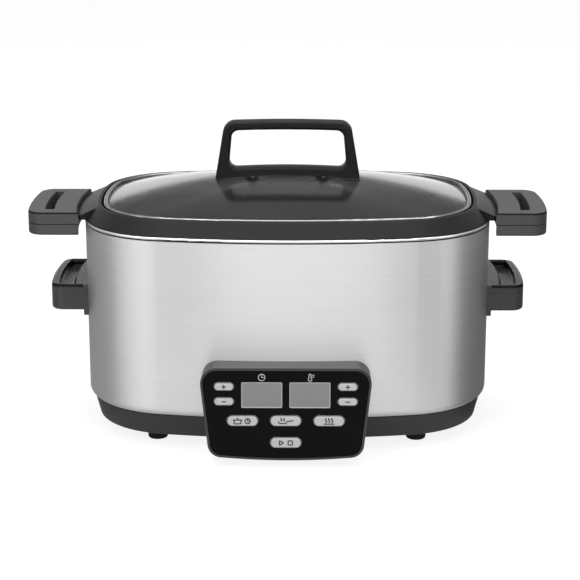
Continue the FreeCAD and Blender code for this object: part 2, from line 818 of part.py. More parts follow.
def sensor():
    holder = new_body("sensor_holder")
    base = "(tub_bottom - holder_height)"
    floor = f"({base} + holder_floor)"
    stem_hole = "sensor_stem_radius + sensor_clearance"
    revolve(holder, [
        (stem_hole, base, None), ("holder_radius", base, "holder_floor"),
        ("holder_radius", "tub_bottom", None),
        ("holder_bore", "tub_bottom", None), ("holder_bore", floor, None), (stem_hole, floor, None)])
    cap = new_body("sensor_cap")
    flange_top = "(tub_bottom - lift_gap)"
    flange_base = f"({flange_top} - sensor_flange)"
    revolve(cap, [
        ("0", f"{flange_base} - sensor_stem", None),
        ("sensor_stem_radius", f"{flange_base} - sensor_stem", None),
        ("sensor_stem_radius", flange_base, None), ("sensor_flange_radius", flange_base, None),
        ("sensor_flange_radius", flange_top, None), ("sensor_radius", flange_top, None),
        ("sensor_radius", HEATER_TOP, "heater_edge"), ("0", HEATER_TOP, None)])
    coil = doc.addObject("Part::Helix", "Helix")
    room = f"({flange_base} - {floor} - 2 * spring_wire - 2 * element_clearance)"
    bind(coil, "Radius", "spring_radius")
    bind(coil, "Height", room)
    bind(coil, "Pitch", f"{room} / spring_turns")
    wire = doc.addObject("Part::Circle", "WireSection")
    bind(wire, "Radius", "spring_wire")
    wire.Placement = FreeCAD.Placement(V(0, 0, 0), AGAINST_Y)
    bind(wire, "Placement.Base.x", "spring_radius")
    spring = keep(doc.addObject("Part::Sweep", "sensor_spring"), "sensor_spring")
    spring.Sections = [wire]
    spring.Spine = (coil, [])
    spring.Solid = True
    spring.Frenet = True
    place(spring, "0", "0", f"{floor} + spring_wire + element_clearance")


def thermal_fuse():
    top = "tub_bottom - fuse_radius - element_clearance"
    can = cylinder("fuse_radius", "fuse_length", "-fuse_length / 2", "fuse_y", top, ALONG_X)
    keep(can, "thermal_fuse")


# Pot and grips

def add_lug(body):
    """Gusset that carries the rim's slope down to the tang, turned about the centre of the oval's end arc."""
    sketch = new_sketch(body, "0", "XZ_Plane")
    bind(sketch, "AttachmentOffset.Base.x", "half_width - end_radius")
    inner = "(end_radius - crest_inset)"
    outer = "(end_radius + grip_start - grip_clearance)"
    add_polygon(sketch, [
        (inner, RIM_BOTTOM, None), (outer, RIM_BOTTOM, None),
        (outer, TANG_TOP, None), (inner, f"{CREST} - rim_edge", None)])
    feature = body.newObject("PartDesign::Revolution", "Lug")
    feature.Profile = sketch
    feature.ReferenceAxis = (sketch, ["V_Axis"])
    feature.Midplane = True
    bind(feature, "Angle", "2 * asin(lug_half_depth / end_radius)")
    feature.recompute(True)
    return feature


def lug_corners(edge):
    """Choose the lugs' upright outer edges."""
    box = edge.BoundBox
    upright = box.ZLength > 1 and box.XLength < TOUCH
    beyond = abs(box.XMin) > value("half_width") and abs(box.YMin) > value("tang_half_depth + lug_corner")
    return upright and beyond


def cooking_pot():
    body = new_body("PotBlank", node=False)
    slope = "-atan((crest_inset - rim_outer_inset) / crest_height)"
    pad(body, ovals(body, RIM_BOTTOM, "rim_outer_inset"), "crest_height", taper=slope)
    lug = add_lug(body)
    strip = sector(body, RIM_BOTTOM, "-crest_inset", "tang_reach", "tang_half_depth")
    tang = pad(body, strip, "tang_thickness")
    both = body.newObject("PartDesign::Mirrored", "Mirrored")
    both.Originals = [lug, tang]
    plane = next(item for item in body.Origin.OriginFeatures if item.Role == "YZ_Plane")
    both.MirrorPlane = (plane, [""])
    body.Tip = both
    both.recompute(True)
    fillet(body, "lug_corner", lug_corners)
    fillet(body, "rim_edge", at_height(CREST))
    draft = "-pot_draft"
    pad(body, ovals(body, RIM_BOTTOM, "pot_inset"), f"{RIM_BOTTOM} - {POT_BOTTOM}", flip=True, taper=draft)
    fillet(body, "pot_bend", at_height(POT_BOTTOM))
    pocket(body, ovals(body, CREST, "ledge_inset"), "ledge_depth")
    screw_holes = [(f"{sx}(half_width + grip_screw_reach)", f"{sy}grip_screw_y") for sx, sy in QUARTERS]
    pocket(body, circles(body, screw_holes, "screw_radius + screw_clearance", TANG_TOP), "2 * tang_thickness")
    floor = f"({POT_BOTTOM} + pot_floor)"
    cavity = new_body("PotCavity", node=False)
    pad(cavity, ovals(cavity, LEDGE, "pot_inset + pot_wall"), f"{LEDGE} - {floor}", flip=True, taper=draft)
    fillet(cavity, "pot_bend - pot_wall", at_height(floor))
    hollow("cooking_pot", body, cavity)


def grip_upper():
    """Right-hand upper half: slotted top, with a cavity that takes the pot's tang."""
    body = new_body("pot_grip_right_top")
    pad(body, sector(body, "grip_part_line", "grip_start", "grip_reach", "grip_half_depth"), "grip_upper")
    fillet(body, "grip_corner", upright_beyond("half_width + (grip_start + grip_reach) / 2"))
    fillet(body, "grip_edge", at_height(GRIP_TOP))
    fillet(body, "grip_part_edge", at_height("grip_part_line"))
    slot_end = "grip_slot_start + grip_slot_width"
    pocket(body, sector(body, GRIP_TOP, "grip_slot_start", slot_end, "grip_slot_half"), "2 * grip_upper")
    reach, half = "tang_reach + grip_clearance", "tang_half_depth + grip_clearance"
    cavity = sector(body, "grip_part_line", "0", reach, half)
    pocket(body, cavity, f"{TANG_TOP} + grip_clearance - grip_part_line", flip=True)
    outer = circles(body, [("half_width + grip_outer_screw_reach", "0")], "screw_radius + screw_clearance",
                    "grip_part_line")
    pocket(body, outer, "grip_pilot", flip=True)
    mirrored(body, "pot_grip_left_top")


def grip_lower():
    """Right-hand lower half: a raised pad clamps the tang, and the screws sit in counterbores."""
    body = new_body("pot_grip_right_bottom")
    base = "(grip_part_line - grip_lower)"
    pad(body, sector(body, base, "grip_start", "grip_reach", "grip_half_depth"), "grip_lower")
    fillet(body, "grip_corner", upright_beyond("half_width + (grip_start + grip_reach) / 2"))
    fillet(body, "grip_edge", at_height(base))
    fillet(body, "grip_part_edge", at_height("grip_part_line"))
    slot_end = "grip_slot_start + grip_slot_width"
    slot = sector(body, "grip_part_line", "grip_slot_start", slot_end, "grip_slot_half")
    pocket(body, slot, "grip_lower - grip_slot_floor")
    clamp = sector(body, "grip_part_line", "grip_start + grip_clearance", "tang_reach", "tang_half_depth")
    pad(body, clamp, f"{RIM_BOTTOM} - grip_part_line")
    inner = [("half_width + grip_screw_reach", f"{s}grip_screw_y") for s in SIGNS]
    outer = [("half_width + grip_outer_screw_reach", "0")]
    pocket(body, circles(body, inner + outer, "screw_radius + screw_clearance", RIM_BOTTOM), "2 * grip_lower")
    sink = circles(body, inner + outer, "screw_head_radius + screw_clearance", base)
    pocket(body, sink, "screw_head + grip_edge / 2", flip=True)
    mirrored(body, "pot_grip_left_bottom")
    seat = f"{base} + screw_head + grip_edge / 2"
    bite = f"{TANG_TOP} - ({seat}) - screw_clearance"
    items = []
    for sx in SIGNS:
        items += [screw(f"{sx}(half_width + grip_screw_reach)", f"{sy}grip_screw_y", seat, bite, ALONG_Z)
                  for sy in SIGNS]
        items.append(screw(f"{sx}(half_width + grip_outer_screw_reach)", "0", seat,
                           f"grip_part_line + grip_pilot - screw_end_gap - ({seat})", ALONG_Z))
    group("pot_grip_screws", items)


# Lid

def lid_rim():
    """Steel band rolled round the glass: lower lip, wall and rounded upper bead."""
    body = new_body("lid_rim")
    inner = "band_inset + band_width"
    wall = "band_inset + band_wall"
    groove = "(glass_thickness + 2 * glass_clearance)"
    pad(body, ovals(body, BAND_BOTTOM, "band_inset", inner), "band_lip")
    pad(body, ovals(body, f"{BAND_BOTTOM} + band_lip", "band_inset", wall), groove)
    pad(body, ovals(body, f"{BAND_BOTTOM} + band_lip + {groove}", "band_inset", inner), "band_bead")
    fillet(body, "band_edge", at_height(f"{BAND_BOTTOM} + band_lip + {groove} + band_bead"))


def loft(body, kind, sections):
    feature = body.newObject(kind, "Loft")
    feature.Profile = sections[0]
    feature.Sections = sections[1:]
    feature.recompute(True)
    return feature


DOME_SCALES = (1.0, 0.85, 0.65, 0.4, 0.1)


def dome(body, kind, edge):
    """Loft through ovals that shrink towards the middle, on a parabola of the dome's rise."""
    sections = []
    for scale in DOME_SCALES:
        level = f"{edge} + dome_rise * {1 - scale ** 2:.6f}"
        sections.append(ovals(body, level, "dome_inset", scale=f"{scale}"))
    return loft(body, kind, sections)


def lid_glass():
    body = new_body("lid_glass")
    pad(body, ovals(body, GLASS_BOTTOM, "band_inset + band_wall + glass_clearance"), "glass_thickness")
    dome(body, "PartDesign::AdditiveLoft", GLASS_EDGE)
    dome(body, "PartDesign::SubtractiveLoft", GLASS_BOTTOM)
    holes = circles(body, [(f"{s}lid_screw_x", "0") for s in SIGNS], "lid_screw_hole", f"{APEX} + dome_rise")
    pocket(body, holes, "2 * dome_rise")


def dome_drop(x):
    """How far the dome falls below its apex at a distance along X."""
    return f"(dome_rise * ({x})^2 / (half_width - dome_inset)^2)"


def lid_handle():
    """Closed arch with a finger opening, its foot curved to the dome."""
    body = new_body("lid_handle")
    front = "handle_thickness / 2"
    base = f"({APEX} + handle_gap)"
    top = f"({base} + handle_height)"
    foot_drop = dome_drop("handle_half_base")
    low = f"({base} - {foot_drop})"
    outline = [
        ("-handle_half_base", low, None), ("handle_half_base", low, None),
        ("handle_half_top", f"{top} - handle_top_bow", "handle_corner"), ("0", top, "handle_top_radius"),
        ("-handle_half_top", f"{top} - handle_top_bow", "handle_corner")]
    pad(body, polygon(body, outline, front, "XZ_Plane"), "handle_thickness", flip=True)
    sill = f"({base} + handle_low_bar)"
    head = f"({top} - handle_top_bar)"
    wide = "(handle_half_base - handle_leg)"
    narrow = "(handle_half_top - handle_leg_top)"
    low_sill, low_head = f"{sill} - handle_sill_bow", f"{head} - handle_top_bow"
    gap = [(f"-{wide}", low_sill, "handle_inner_corner"), ("0", sill, "handle_sill_radius"),
           (wide, low_sill, "handle_inner_corner"), (narrow, low_head, "handle_inner_corner"),
           ("0", head, "handle_top_radius"), (f"-{narrow}", low_head, "handle_inner_corner")]
    pocket(body, polygon(body, gap, front, "XZ_Plane"), "handle_thickness")
    near, far, floor = at_depth(f"-{front}"), at_depth(front), value(low)
    fillet(body, "handle_edge", lambda edge: (near(edge) or far(edge)) and edge.BoundBox.ZMax > floor + 1)
    bow = f"((handle_half_base^2 + {foot_drop}^2) / (2 * {foot_drop}))"
    pocket(body, circles(body, [("0", f"{base} - {bow}")], bow, front, "XZ_Plane"), "handle_thickness")
    screws = [(f"{s}lid_screw_x", "0") for s in SIGNS]
    pocket(body, circles(body, screws, "screw_radius + screw_clearance", f"{base} - {foot_drop}"),
           f"{foot_drop} + handle_pilot", flip=True)


def lid_fixings():
    under = f"({APEX} - glass_thickness - {dome_drop('lid_screw_x + washer_radius')} - washer_gap)"
    washers = []
    screws = []
    for s in SIGNS:
        ring = doc.addObject("Part::Cut", "Washer")
        low = f"{under} - washer_thickness"
        ring.Base = cylinder("washer_radius", "washer_thickness", f"{s}lid_screw_x", "0", low)
        ring.Tool = cylinder("screw_radius + screw_clearance", "3 * washer_thickness", f"{s}lid_screw_x", "0",
                             f"{under} - 2 * washer_thickness")
        washers.append(ring)
        grip = f"washer_thickness + ({APEX} + handle_pilot - screw_end_gap - {under})"
        screws.append(screw(f"{s}lid_screw_x", "0", f"{under} - washer_thickness", grip, ALONG_Z))
    group("lid_washers", washers)
    group("lid_screws", screws)


# Side handles

def side_handles():
    """Right-hand side handle: dished top, finger recess below, and a flange that follows the shell."""
    body = new_body("side_handle_right")
    pad(body, sector(body, "side_bottom", "0", "side_reach", "side_half_depth"), "side_top - side_bottom")
    fillet(body, "side_corner", upright_beyond("half_width + side_reach / 2"))
    fillet(body, "side_edge", lambda edge: (
        (at_height("side_top")(edge) or at_height("side_bottom")(edge))
        and edge.BoundBox.XMax > value("half_width + side_reach / 2")))
    flange = sector(body, "side_bottom - side_flange_drop", "0", "side_flange", "side_half_depth")
    pad(body, flange, "side_top - side_bottom + side_flange_drop")
    dish = sector(body, "side_top", "side_dish_start", "side_dish_end", "side_dish_half")
    pocket(body, dish, "side_dish_depth")
    fillet(body, "side_dish_round", at_height("side_top - side_dish_depth"))
    recess = sector(body, "side_bottom", "side_recess_start", "side_recess_end", "side_recess_half")
    pocket(body, recess, "side_recess_depth", flip=True)
    holes = [(f"{s}side_screw_y", "side_screw_z") for s in SIGNS]
    pilot = circles(body, holes, "screw_radius + screw_clearance", "half_width + screw_bite", "YZ_Plane")
    pocket(body, pilot, "2 * screw_bite")
    mirrored(body, "side_handle_left")
    head_seat = end_face("-shell_wall", "side_screw_y + screw_head_radius")
    items = []
    for sx, turn in (("", ALONG_X), ("-", AGAINST_X)):
        items += [screw(f"{sx}{head_seat}", f"{sy}side_screw_y", "side_screw_z", SCREW_LENGTH, turn)
                  for sy in SIGNS]
    group("side_handle_screws", items)


# Console

def console_outline(inset):
    """The console's front outline set in by a width: wider at the top, with a bowed bottom."""
    low = f"-(console_height - {inset})"
    lowest = f"-(console_height + console_bow - {inset})"
    high = f"-({inset})"
    top = f"(console_half_top - {inset})"
    bottom = f"(console_half_bottom - {inset})"
    top_round = f"console_top_corner - {inset}"
    bottom_round = f"console_bottom_corner - {inset}"
    return [(f"-{bottom}", low, bottom_round), ("0", lowest, f"console_bow_radius - {inset}"),
            (bottom, low, bottom_round), (top, high, top_round), (f"-{top}", high, top_round)]


def board_screw_places():
    """Upper pair between the small buttons, lower pair in the board's bottom corners."""
    high = "-(plus_down + minus_down) / 2"
    low = "-(console_height - board_margin - board_screw_inset)"
    rows = ((high, "0"), (low, "board_screw_inset"))
    return [(f"{s}(board_screw_x - {taper})", z) for s in SIGNS for z, taper in rows]


def console_housing():
    """Moulded tray whose back is cut to the shell, with bosses for the control board."""
    body = new_body("ConsoleTray", leaning=True, node=False)
    pad(body, polygon(body, console_outline("0"), "0", "XZ_Plane"), "console_depth", flip=True)
    fillet(body, "console_edge", at_depth("0"))
    pocket(body, polygon(body, console_outline("bezel_width"), "0", "XZ_Plane"), PLATE_BACK)
    pocket(body, polygon(body, console_outline("cavity_wall"), "0", "XZ_Plane"), "cavity_depth")
    back = "board_front + board_thickness"
    bosses = circles(body, board_screw_places(), "boss_radius", "-cavity_depth", "XZ_Plane")
    pad(body, bosses, f"cavity_depth - ({back})")
    bore = "small_screw_radius + screw_clearance"
    pilots = circles(body, board_screw_places(), bore, f"-({back})", "XZ_Plane")
    pocket(body, pilots, "screw_bite")
    core = new_body("ShellSpace", node=False)
    pad(core, ovals(core, "-console_height", "0"), "3 * console_height")
    trimmed = doc.addObject("Part::Cut", "TrimmedTray")
    trimmed.Base = body
    trimmed.Tool = core
    holes = doc.addObject("Part::MultiFuse", "ScrewHoles")
    places = [(f"{s}console_screw_x", z) for s in SIGNS for z in ("console_screw_low", "console_screw_high")]
    inner = f"-{front_face('shell_wall', 'console_screw_x - screw_head_radius')}"
    bore = "screw_radius + screw_clearance"
    holes.Shapes = [cylinder(bore, "screw_bite", x, inner, z, AGAINST_Y) for x, z in places]
    housing = keep(doc.addObject("Part::Cut", "console_housing"), "console_housing")
    housing.Base = trimmed
    housing.Tool = holes
    seat = f"-{front_face('shell_wall', 'console_screw_x + screw_head_radius')}"
    group("console_screws", [screw(x, seat, z, SCREW_LENGTH, AGAINST_Y) for x, z in places])


BUTTONS = {
    "time_plus_button": ("-small_x", "plus_down", "small"),
    "time_minus_button": ("-small_x", "minus_down", "small"),
    "temperature_plus_button": ("small_x", "plus_down", "small"),
    "temperature_minus_button": ("small_x", "minus_down", "small"),
    "mode_button_left": ("-mode_x", "mode_down", "large"),
    "mode_button_middle": ("0", "mode_down", "large"),
    "mode_button_right": ("mode_x", "mode_down", "large"),
    "start_stop_button": ("0", "start_down", "large"),
}
DISPLAYS = {"time_display": "-display_x", "temperature_display": "display_x"}


def pill(x, down, size, grow):
    """Corners of a pill-shaped outline about a button's centre."""
    half_width = f"({size}_width / 2 + {grow})"
    half_height = f"({size}_height / 2 + {grow})"
    return rectangle(f"{x} - {half_width}", f"{x} + {half_width}", f"-{down} - {half_height}",
                     f"-{down} + {half_height}", f"({half_height} - pill_flat)")


def console_faceplate():
    body = new_body("console_faceplate", leaning=True)
    outline = console_outline("(bezel_width + plate_clearance)")
    pad(body, polygon(body, outline, "-plate_set_back", "XZ_Plane"), "plate_thickness", flip=True)
    windows = [pill(x, down, size, "button_gap") for x, down, size in BUTTONS.values()]
    windows += [display_outline(x, "plate_clearance") for x in DISPLAYS.values()]
    for window in windows:
        pocket(body, polygon(body, window, "0", "XZ_Plane"), f"{PLATE_BACK} + plate_thickness")


def display_outline(x, grow):
    half = f"(display_width / 2 + {grow})"
    tall = f"(display_height / 2 + {grow})"
    return rectangle(f"{x} - {half}", f"{x} + {half}", f"-display_down - {tall}", f"-display_down + {tall}")


def display(label, x):
    """Display module: glass in the faceplate's window, frame behind it down to the board."""
    body = new_body(label, leaning=True)
    glass = polygon(body, display_outline(x, "0"), "-display_set_back", "XZ_Plane")
    pad(body, glass, f"{PLATE_BACK} - display_set_back + plate_clearance", flip=True)
    level = f"-({PLATE_BACK} + plate_clearance)"
    frame = polygon(body, display_outline(x, "display_border"), level, "XZ_Plane")
    pad(body, frame, f"board_front - {PLATE_BACK} - plate_clearance", flip=True)


def button(label, x, down, size):
    """Pill cap with a flange behind the faceplate and a stem towards its switch."""
    body = new_body(label, leaning=True)
    pad(body, polygon(body, pill(x, down, size, "0"), "button_proud", "XZ_Plane"),
        f"button_proud + {FLANGE_FRONT} + button_flange", flip=True)
    fillet(body, "button_edge", at_depth("-button_proud"))
    flange = polygon(body, pill(x, down, size, "button_flange_width"), f"-{FLANGE_FRONT}", "XZ_Plane")
    pad(body, flange, "button_flange", flip=True)
    stem_start = f"-({FLANGE_FRONT} + button_flange)"
    stem = circles(body, [(x, f"-{down}")], "button_stem_radius", stem_start, "XZ_Plane")
    stem_end = f"({SWITCH_FRONT} - button_travel - button_rest_gap)"
    pad(body, stem, f"{stem_end} - ({FLANGE_FRONT} + button_flange)", flip=True)


def control_board():
    body = new_body("control_board", leaning=True)
    taper = "board_screw_inset"
    top, low = "-board_margin", "-(console_height - board_margin)"
    outline = [(f"-(board_half_width - {taper})", low, None), (f"(board_half_width - {taper})", low, None),
               ("board_half_width", top, None), ("-board_half_width", top, None)]
    pad(body, polygon(body, outline, "-board_front", "XZ_Plane"), "board_thickness", flip=True)
    holes = circles(body, board_screw_places(), "small_screw_radius + screw_clearance", "0", "XZ_Plane")
    pocket(body, holes, "2 * board_front")
    switches = doc.addObject("Part::Compound", "button_switches")
    keep(switches, "button_switches")
    switches.Links = [tact_switch(x, down) for x, down, _ in BUTTONS.values()]
    lean(switches)
    screws = doc.addObject("Part::Compound", "board_screws")
    keep(screws, "board_screws")
    screws.Links = [board_screw(x, z) for x, z in board_screw_places()]
    lean(screws)


def tact_switch(x, down):
    """Square switch on the control board, with its round plunger towards the button."""
    case = doc.addObject("Part::Box", "SwitchCase")
    bind(case, "Length", "switch_size")
    bind(case, "Width", "switch_height")
    bind(case, "Height", "switch_size")
    bind(case, "Placement.Base.x", f"{x} - switch_size / 2")
    bind(case, "Placement.Base.y", "board_front - switch_height")
    bind(case, "Placement.Base.z", f"-{down} - switch_size / 2")
    tip = doc.addObject("Part::Cylinder", "SwitchTip")
    tip.Placement = FreeCAD.Placement(V(0, 0, 0), AGAINST_Y)
    bind(tip, "Radius", "switch_tip_radius")
    bind(tip, "Height", "switch_tip_height")
    bind(tip, "Placement.Base.x", x)
    bind(tip, "Placement.Base.y", "board_front - switch_height")
    bind(tip, "Placement.Base.z", f"-{down}")
    item = doc.addObject("Part::Fuse", "Switch")
    item.Base = case
    item.Tool = tip
    return item


def board_screw(x, z):
    """Small screw through the control board into its boss, in the console's frame."""
    item = screw("0", "0", "0", f"board_thickness + {SCREW_LENGTH}", FreeCAD.Rotation(V(1, 0, 0), -90),
                 "small_screw_head", "small_screw_head_radius", "small_screw_radius")
    bind(item, "Placement.Base.x", x)
    bind(item, "Placement.Base.y", "board_front")
    bind(item, "Placement.Base.z", z)
    return item


# Power board and gland

def on_board(x, width, depth, corner=None):
    """Rectangle on the power board, round a place along its middle."""
    return rectangle(f"{x} - {width} / 2", f"{x} + {width} / 2",
                     f"power_y - {depth} / 2", f"power_y + {depth} / 2", corner)


def power_board():
    body = new_body("power_board")
    base = "cover_top + standoff_height"
    pad(body, polygon(body, on_board("0", "power_width", "power_depth"), base), "board_thickness")
    holes = circles(body, board_places(), "small_screw_radius + screw_clearance", base)
    pocket(body, holes, "2 * board_thickness", flip=True)
    top = f"({base} + board_thickness)"
    length = "board_thickness + standoff_height - screw_end_gap"
    small = ("small_screw_head", "small_screw_head_radius", "small_screw_radius")
    down = FreeCAD.Rotation(V(1, 0, 0), 180)
    group("power_board_screws", [screw(x, y, top, length, down, *small) for x, y in board_places()])
    core = new_body("transformer")
    block = on_board("transformer_x", "transformer_width", "(transformer_depth - 2 * coil_overhang)")
    pad(core, polygon(core, block, top), "transformer_height")
    coil = on_board("transformer_x", "coil_width", "transformer_depth", "coil_overhang / 2")
    pad(core, polygon(core, coil, f"{top} + coil_overhang"), "transformer_height - 2 * coil_overhang")
    relay = new_body("relay")
    case = on_board("relay_x", "relay_width", "relay_depth", "relay_edge")
    pad(relay, polygon(relay, case, top), "relay_height")
    fillet(relay, "relay_edge", at_height(f"{top} + relay_height"))


def cord_gland():
    """Flanged bush in the skirt's spot-faced back wall."""
    flange_back = "half_depth - gland_seat"
    body = doc.addObject("PartDesign::Body", "cord_gland")
    keep(body, "cord_gland")
    body.Placement = FreeCAD.Placement(V(0, 0, 0), FreeCAD.Rotation(V(1, 0, 0), -90))
    place(body, "0", flange_back, "gland_z")
    revolve(body, [
        ("gland_bore", "-gland_barrel", None), ("gland_barrel_radius", "-gland_barrel", None),
        ("gland_barrel_radius", "0", None), ("gland_flange_radius", "0", None),
        ("gland_flange_radius", "gland_flange", "gland_edge"), ("gland_bore", "gland_flange", None)])


def build():
    outer_shell()
    base_skirt()
    bottom_cover()
    for end, sy in (("front", "-"), ("rear", "")):
        for side, sx in (("left", "-"), ("right", "")):
            foot(f"foot_{end}_{side}", sx, sy)
    inner_liner()
    rim_gasket()
    heater_plate()
    heating_element()
    sensor()
    thermal_fuse()
    cooking_pot()
    grip_upper()
    grip_lower()
    lid_rim()
    lid_glass()
    lid_handle()
    lid_fixings()
    side_handles()
    console_housing()
    console_faceplate()
    for label, x in DISPLAYS.items():
        display(label, x)
    for label, (x, down, size) in BUTTONS.items():
        button(label, x, down, size)
    control_board()
    power_board()
    cord_gland()


def write_parts():
    """Stop on any failed object or bad shape, then write one file per node."""
    doc.recompute()
    failed = [item.Name for item in doc.Objects if {"Invalid", "Error"} & set(item.State)]
    bad = [label for label, item in NODES.items() if item.Shape.isNull() or not item.Shape.isValid()]
    if failed or bad:
        raise RuntimeError(f"failed objects {failed}, bad shapes {bad}")
    os.makedirs("parts", exist_ok=True)
    for label, item in NODES.items():
        item.Shape.exportStep(f"parts/{label}.step")
        print(f"{label}: {len(item.Shape.Solids)} solids, {item.Shape.Volume:.0f} mm3")


build()
write_parts()
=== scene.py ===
"""Looks of an oval slow cooker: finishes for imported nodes, printed signs, screw drives and a studio stage.

Laid out as a Blender add-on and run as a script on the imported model. Lengths are in metres unless a name
says millimetres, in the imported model's own frame: +X to the right, -Y to the front and +Z up.
"""

import json
import math
from typing import NamedTuple

import bmesh
import bpy
import numpy as np
from bpy.props import FloatProperty, FloatVectorProperty, PointerProperty
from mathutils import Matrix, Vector


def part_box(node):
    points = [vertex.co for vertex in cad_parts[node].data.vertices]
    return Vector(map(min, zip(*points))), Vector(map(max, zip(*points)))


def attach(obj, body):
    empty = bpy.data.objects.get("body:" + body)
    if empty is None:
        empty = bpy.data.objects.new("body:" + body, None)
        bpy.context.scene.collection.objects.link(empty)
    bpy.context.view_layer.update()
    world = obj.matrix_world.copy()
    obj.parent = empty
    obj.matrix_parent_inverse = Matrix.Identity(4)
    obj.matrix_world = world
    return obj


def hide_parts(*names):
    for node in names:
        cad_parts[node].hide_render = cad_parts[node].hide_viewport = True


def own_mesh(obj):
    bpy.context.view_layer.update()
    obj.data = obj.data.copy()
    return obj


bl_info = {
    "name": "Slow cooker looks",
    "version": (1, 0, 0),
    "blender": (4, 5, 0),
    "location": "3D View > Sidebar > Cooker",
    "description": "Finishes, signs and stage for a packed slow cooker",
    "category": "Object",
}

MM = 0.001
MM_PER_METRE = 1000
RIGHT, AWAY, UP = (1, 0, 0), (0, 1, 0), (0, 0, 1)

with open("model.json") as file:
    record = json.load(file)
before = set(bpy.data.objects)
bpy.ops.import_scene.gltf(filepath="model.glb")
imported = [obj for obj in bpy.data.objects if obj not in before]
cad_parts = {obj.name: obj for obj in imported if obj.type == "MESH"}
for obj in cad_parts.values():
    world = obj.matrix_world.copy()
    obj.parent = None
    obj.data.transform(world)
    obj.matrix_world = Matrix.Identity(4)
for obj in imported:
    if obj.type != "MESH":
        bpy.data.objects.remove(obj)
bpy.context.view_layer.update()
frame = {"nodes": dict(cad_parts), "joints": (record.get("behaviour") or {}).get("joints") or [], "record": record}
NODES = frame["nodes"]


def linear(hex_colour):
    """Turns an sRGB hex colour into linear red, green and blue."""
    parts = [int(hex_colour[i : i + 2], 16) / 255 for i in (1, 3, 5)]
    return tuple(p / 12.92 if p <= 0.04045 else ((p + 0.055) / 1.055) ** 2.4 for p in parts)


def joint(name):
    """A joint's row in the frame."""
    return next(row for row in frame["joints"] if row["name"] == name)


# Frame of the console's face


def node_points(name):
    """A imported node's mesh points as an (n, 3) array."""
    mesh = NODES[name].data
    points = np.empty(len(mesh.vertices) * 3)
    mesh.vertices.foreach_get("co", points)
    return points.reshape(-1, 3)


PRESS = np.array(joint("start_stop_press")["axis"])
FACE_OUT = -PRESS / np.linalg.norm(PRESS)
FACE_RIGHT = np.array([1.0, 0.0, 0.0])
FACE_UP = np.cross(FACE_OUT, FACE_RIGHT)
SAME_LEVEL = 0.02 * MM


def face_flat(name):
    """The foremost flat of a node on the console: its middle (right, up, out) and its half sizes."""
    points = node_points(name)
    out = points @ FACE_OUT
    flat = points[out > out.max() - SAME_LEVEL] @ np.stack([FACE_RIGHT, FACE_UP], -1)
    middle = (flat.min(0) + flat.max(0)) / 2
    return np.array([*middle, out.max()]), np.ptp(flat, axis=0) / 2


def on_face(points, spot):
    """Places (right, up, out) millimetres, counted from a spot on the face, in the model's frame."""
    across, rise, out = (points * MM + np.array(spot)).transpose(-1, *range(points.ndim - 1))
    return across[..., None] * FACE_RIGHT + rise[..., None] * FACE_UP + out[..., None] * FACE_OUT


# Properties


def colour_property(name, hex_colour):
    return FloatVectorProperty(
        name=name,
        description=f"Colour of the {name.lower()}",
        subtype="COLOR",
        default=linear(hex_colour),
        min=0,
        max=1,
    )


def length_property(name, description, length_mm, **limits):
    return FloatProperty(name=name, description=description, default=length_mm * MM, unit="LENGTH", **limits)


def angle_property(name, description, degrees):
    return FloatProperty(name=name, description=description, default=math.radians(degrees), subtype="ANGLE")


def number_property(name, description, number):
    return FloatProperty(name=name, description=description, default=number)


class CookerColours(bpy.types.PropertyGroup):
    """Colours of the finishes"""

    shell: colour_property("Brushed steel shell", "#d8d8d8")
    liner: colour_property("Formed steel liner", "#eeeeee")
    band: colour_property("Polished steel band", "#9c9c9c")
    coating: colour_property("Non-stick coating", "#171718")
    grips: colour_property("Moulded grips", "#464647")
    handle: colour_property("Lid handle", "#131313")
    housing: colour_property("Moulded housing", "#3d3d3d")
    handles: colour_property("Side handles", "#424242")
    # Darker than the housing as painted shade, for the skirt's low place under the shell.
    skirt: colour_property("Base skirt", "#2f2f2f")
    cover: colour_property("Bottom cover", "#1c1c1c")
    rubber: colour_property("Rubber", "#141414")
    plate: colour_property("Gloss faceplate", "#0a0a0a")
    display: colour_property("Blank display", "#9b9c9a")
    frame: colour_property("Display frame", "#c8c8c6")
    buttons: colour_property("Silver buttons", "#cacac9")
    ink: colour_property("Sign ink on buttons", "#0c0c0c")
    pale_ink: colour_property("Sign ink on the faceplate", "#e8e8e6")
    glass: colour_property("Lid glass", "#f5f5f4")
    aluminium: colour_property("Cast aluminium", "#b9babb")
    screws: colour_property("Plated screws", "#bdbcb6")
    black_screws: colour_property("Blackened screws", "#2a2a2a")
    board: colour_property("Circuit board", "#1d5a36")
    cases: colour_property("Component cases", "#1b1b1c")


class CookerSizes(bpy.types.PropertyGroup):
    """Sizes of the pieces that this file adds"""

    stroke: length_property("Sign stroke", "Width of a printed line", 1.0, min=0.1 * MM)
    label_stroke: length_property("Label stroke", "Width of a line over a display", 0.6, min=0.1 * MM)
    ink_rise: length_property("Ink rise", "How far the ink stands proud", 0.06, min=0.01 * MM)
    spring_wire: length_property("Spring wire", "Radius of the sensor spring's wire", 0.8)
    frame_width: length_property("Display frame", "Width of the bevelled display frame", 0.9)


class CookerStage(bpy.types.PropertyGroup):
    """Camera and light"""

    azimuth: angle_property("Azimuth", "Camera turned to the right", 0.55)
    elevation: angle_property("Elevation", "Camera height as an angle", 15.39)
    distance: length_property("Distance", "Camera to target", 1627.8)
    target_right: length_property("Target right", "Target beside the oval's middle", 2.07)
    target_height: length_property("Target height", "Target above the floor", 113.33)
    lens: number_property("Lens", "Focal length in millimetres", 109.63)
    surround: number_property("Surround", "Soft light from all round", 0.36)
    key: number_property("Key lamp", "Power of the lamp at the front left, in watts", 7.0)
    fill: number_property("Fill lamp", "Power of the lamp at the front right, in watts", 3.2)
    top: number_property("Top lamp", "Power of the lamp overhead, in watts", 21.0)


# Shader helpers


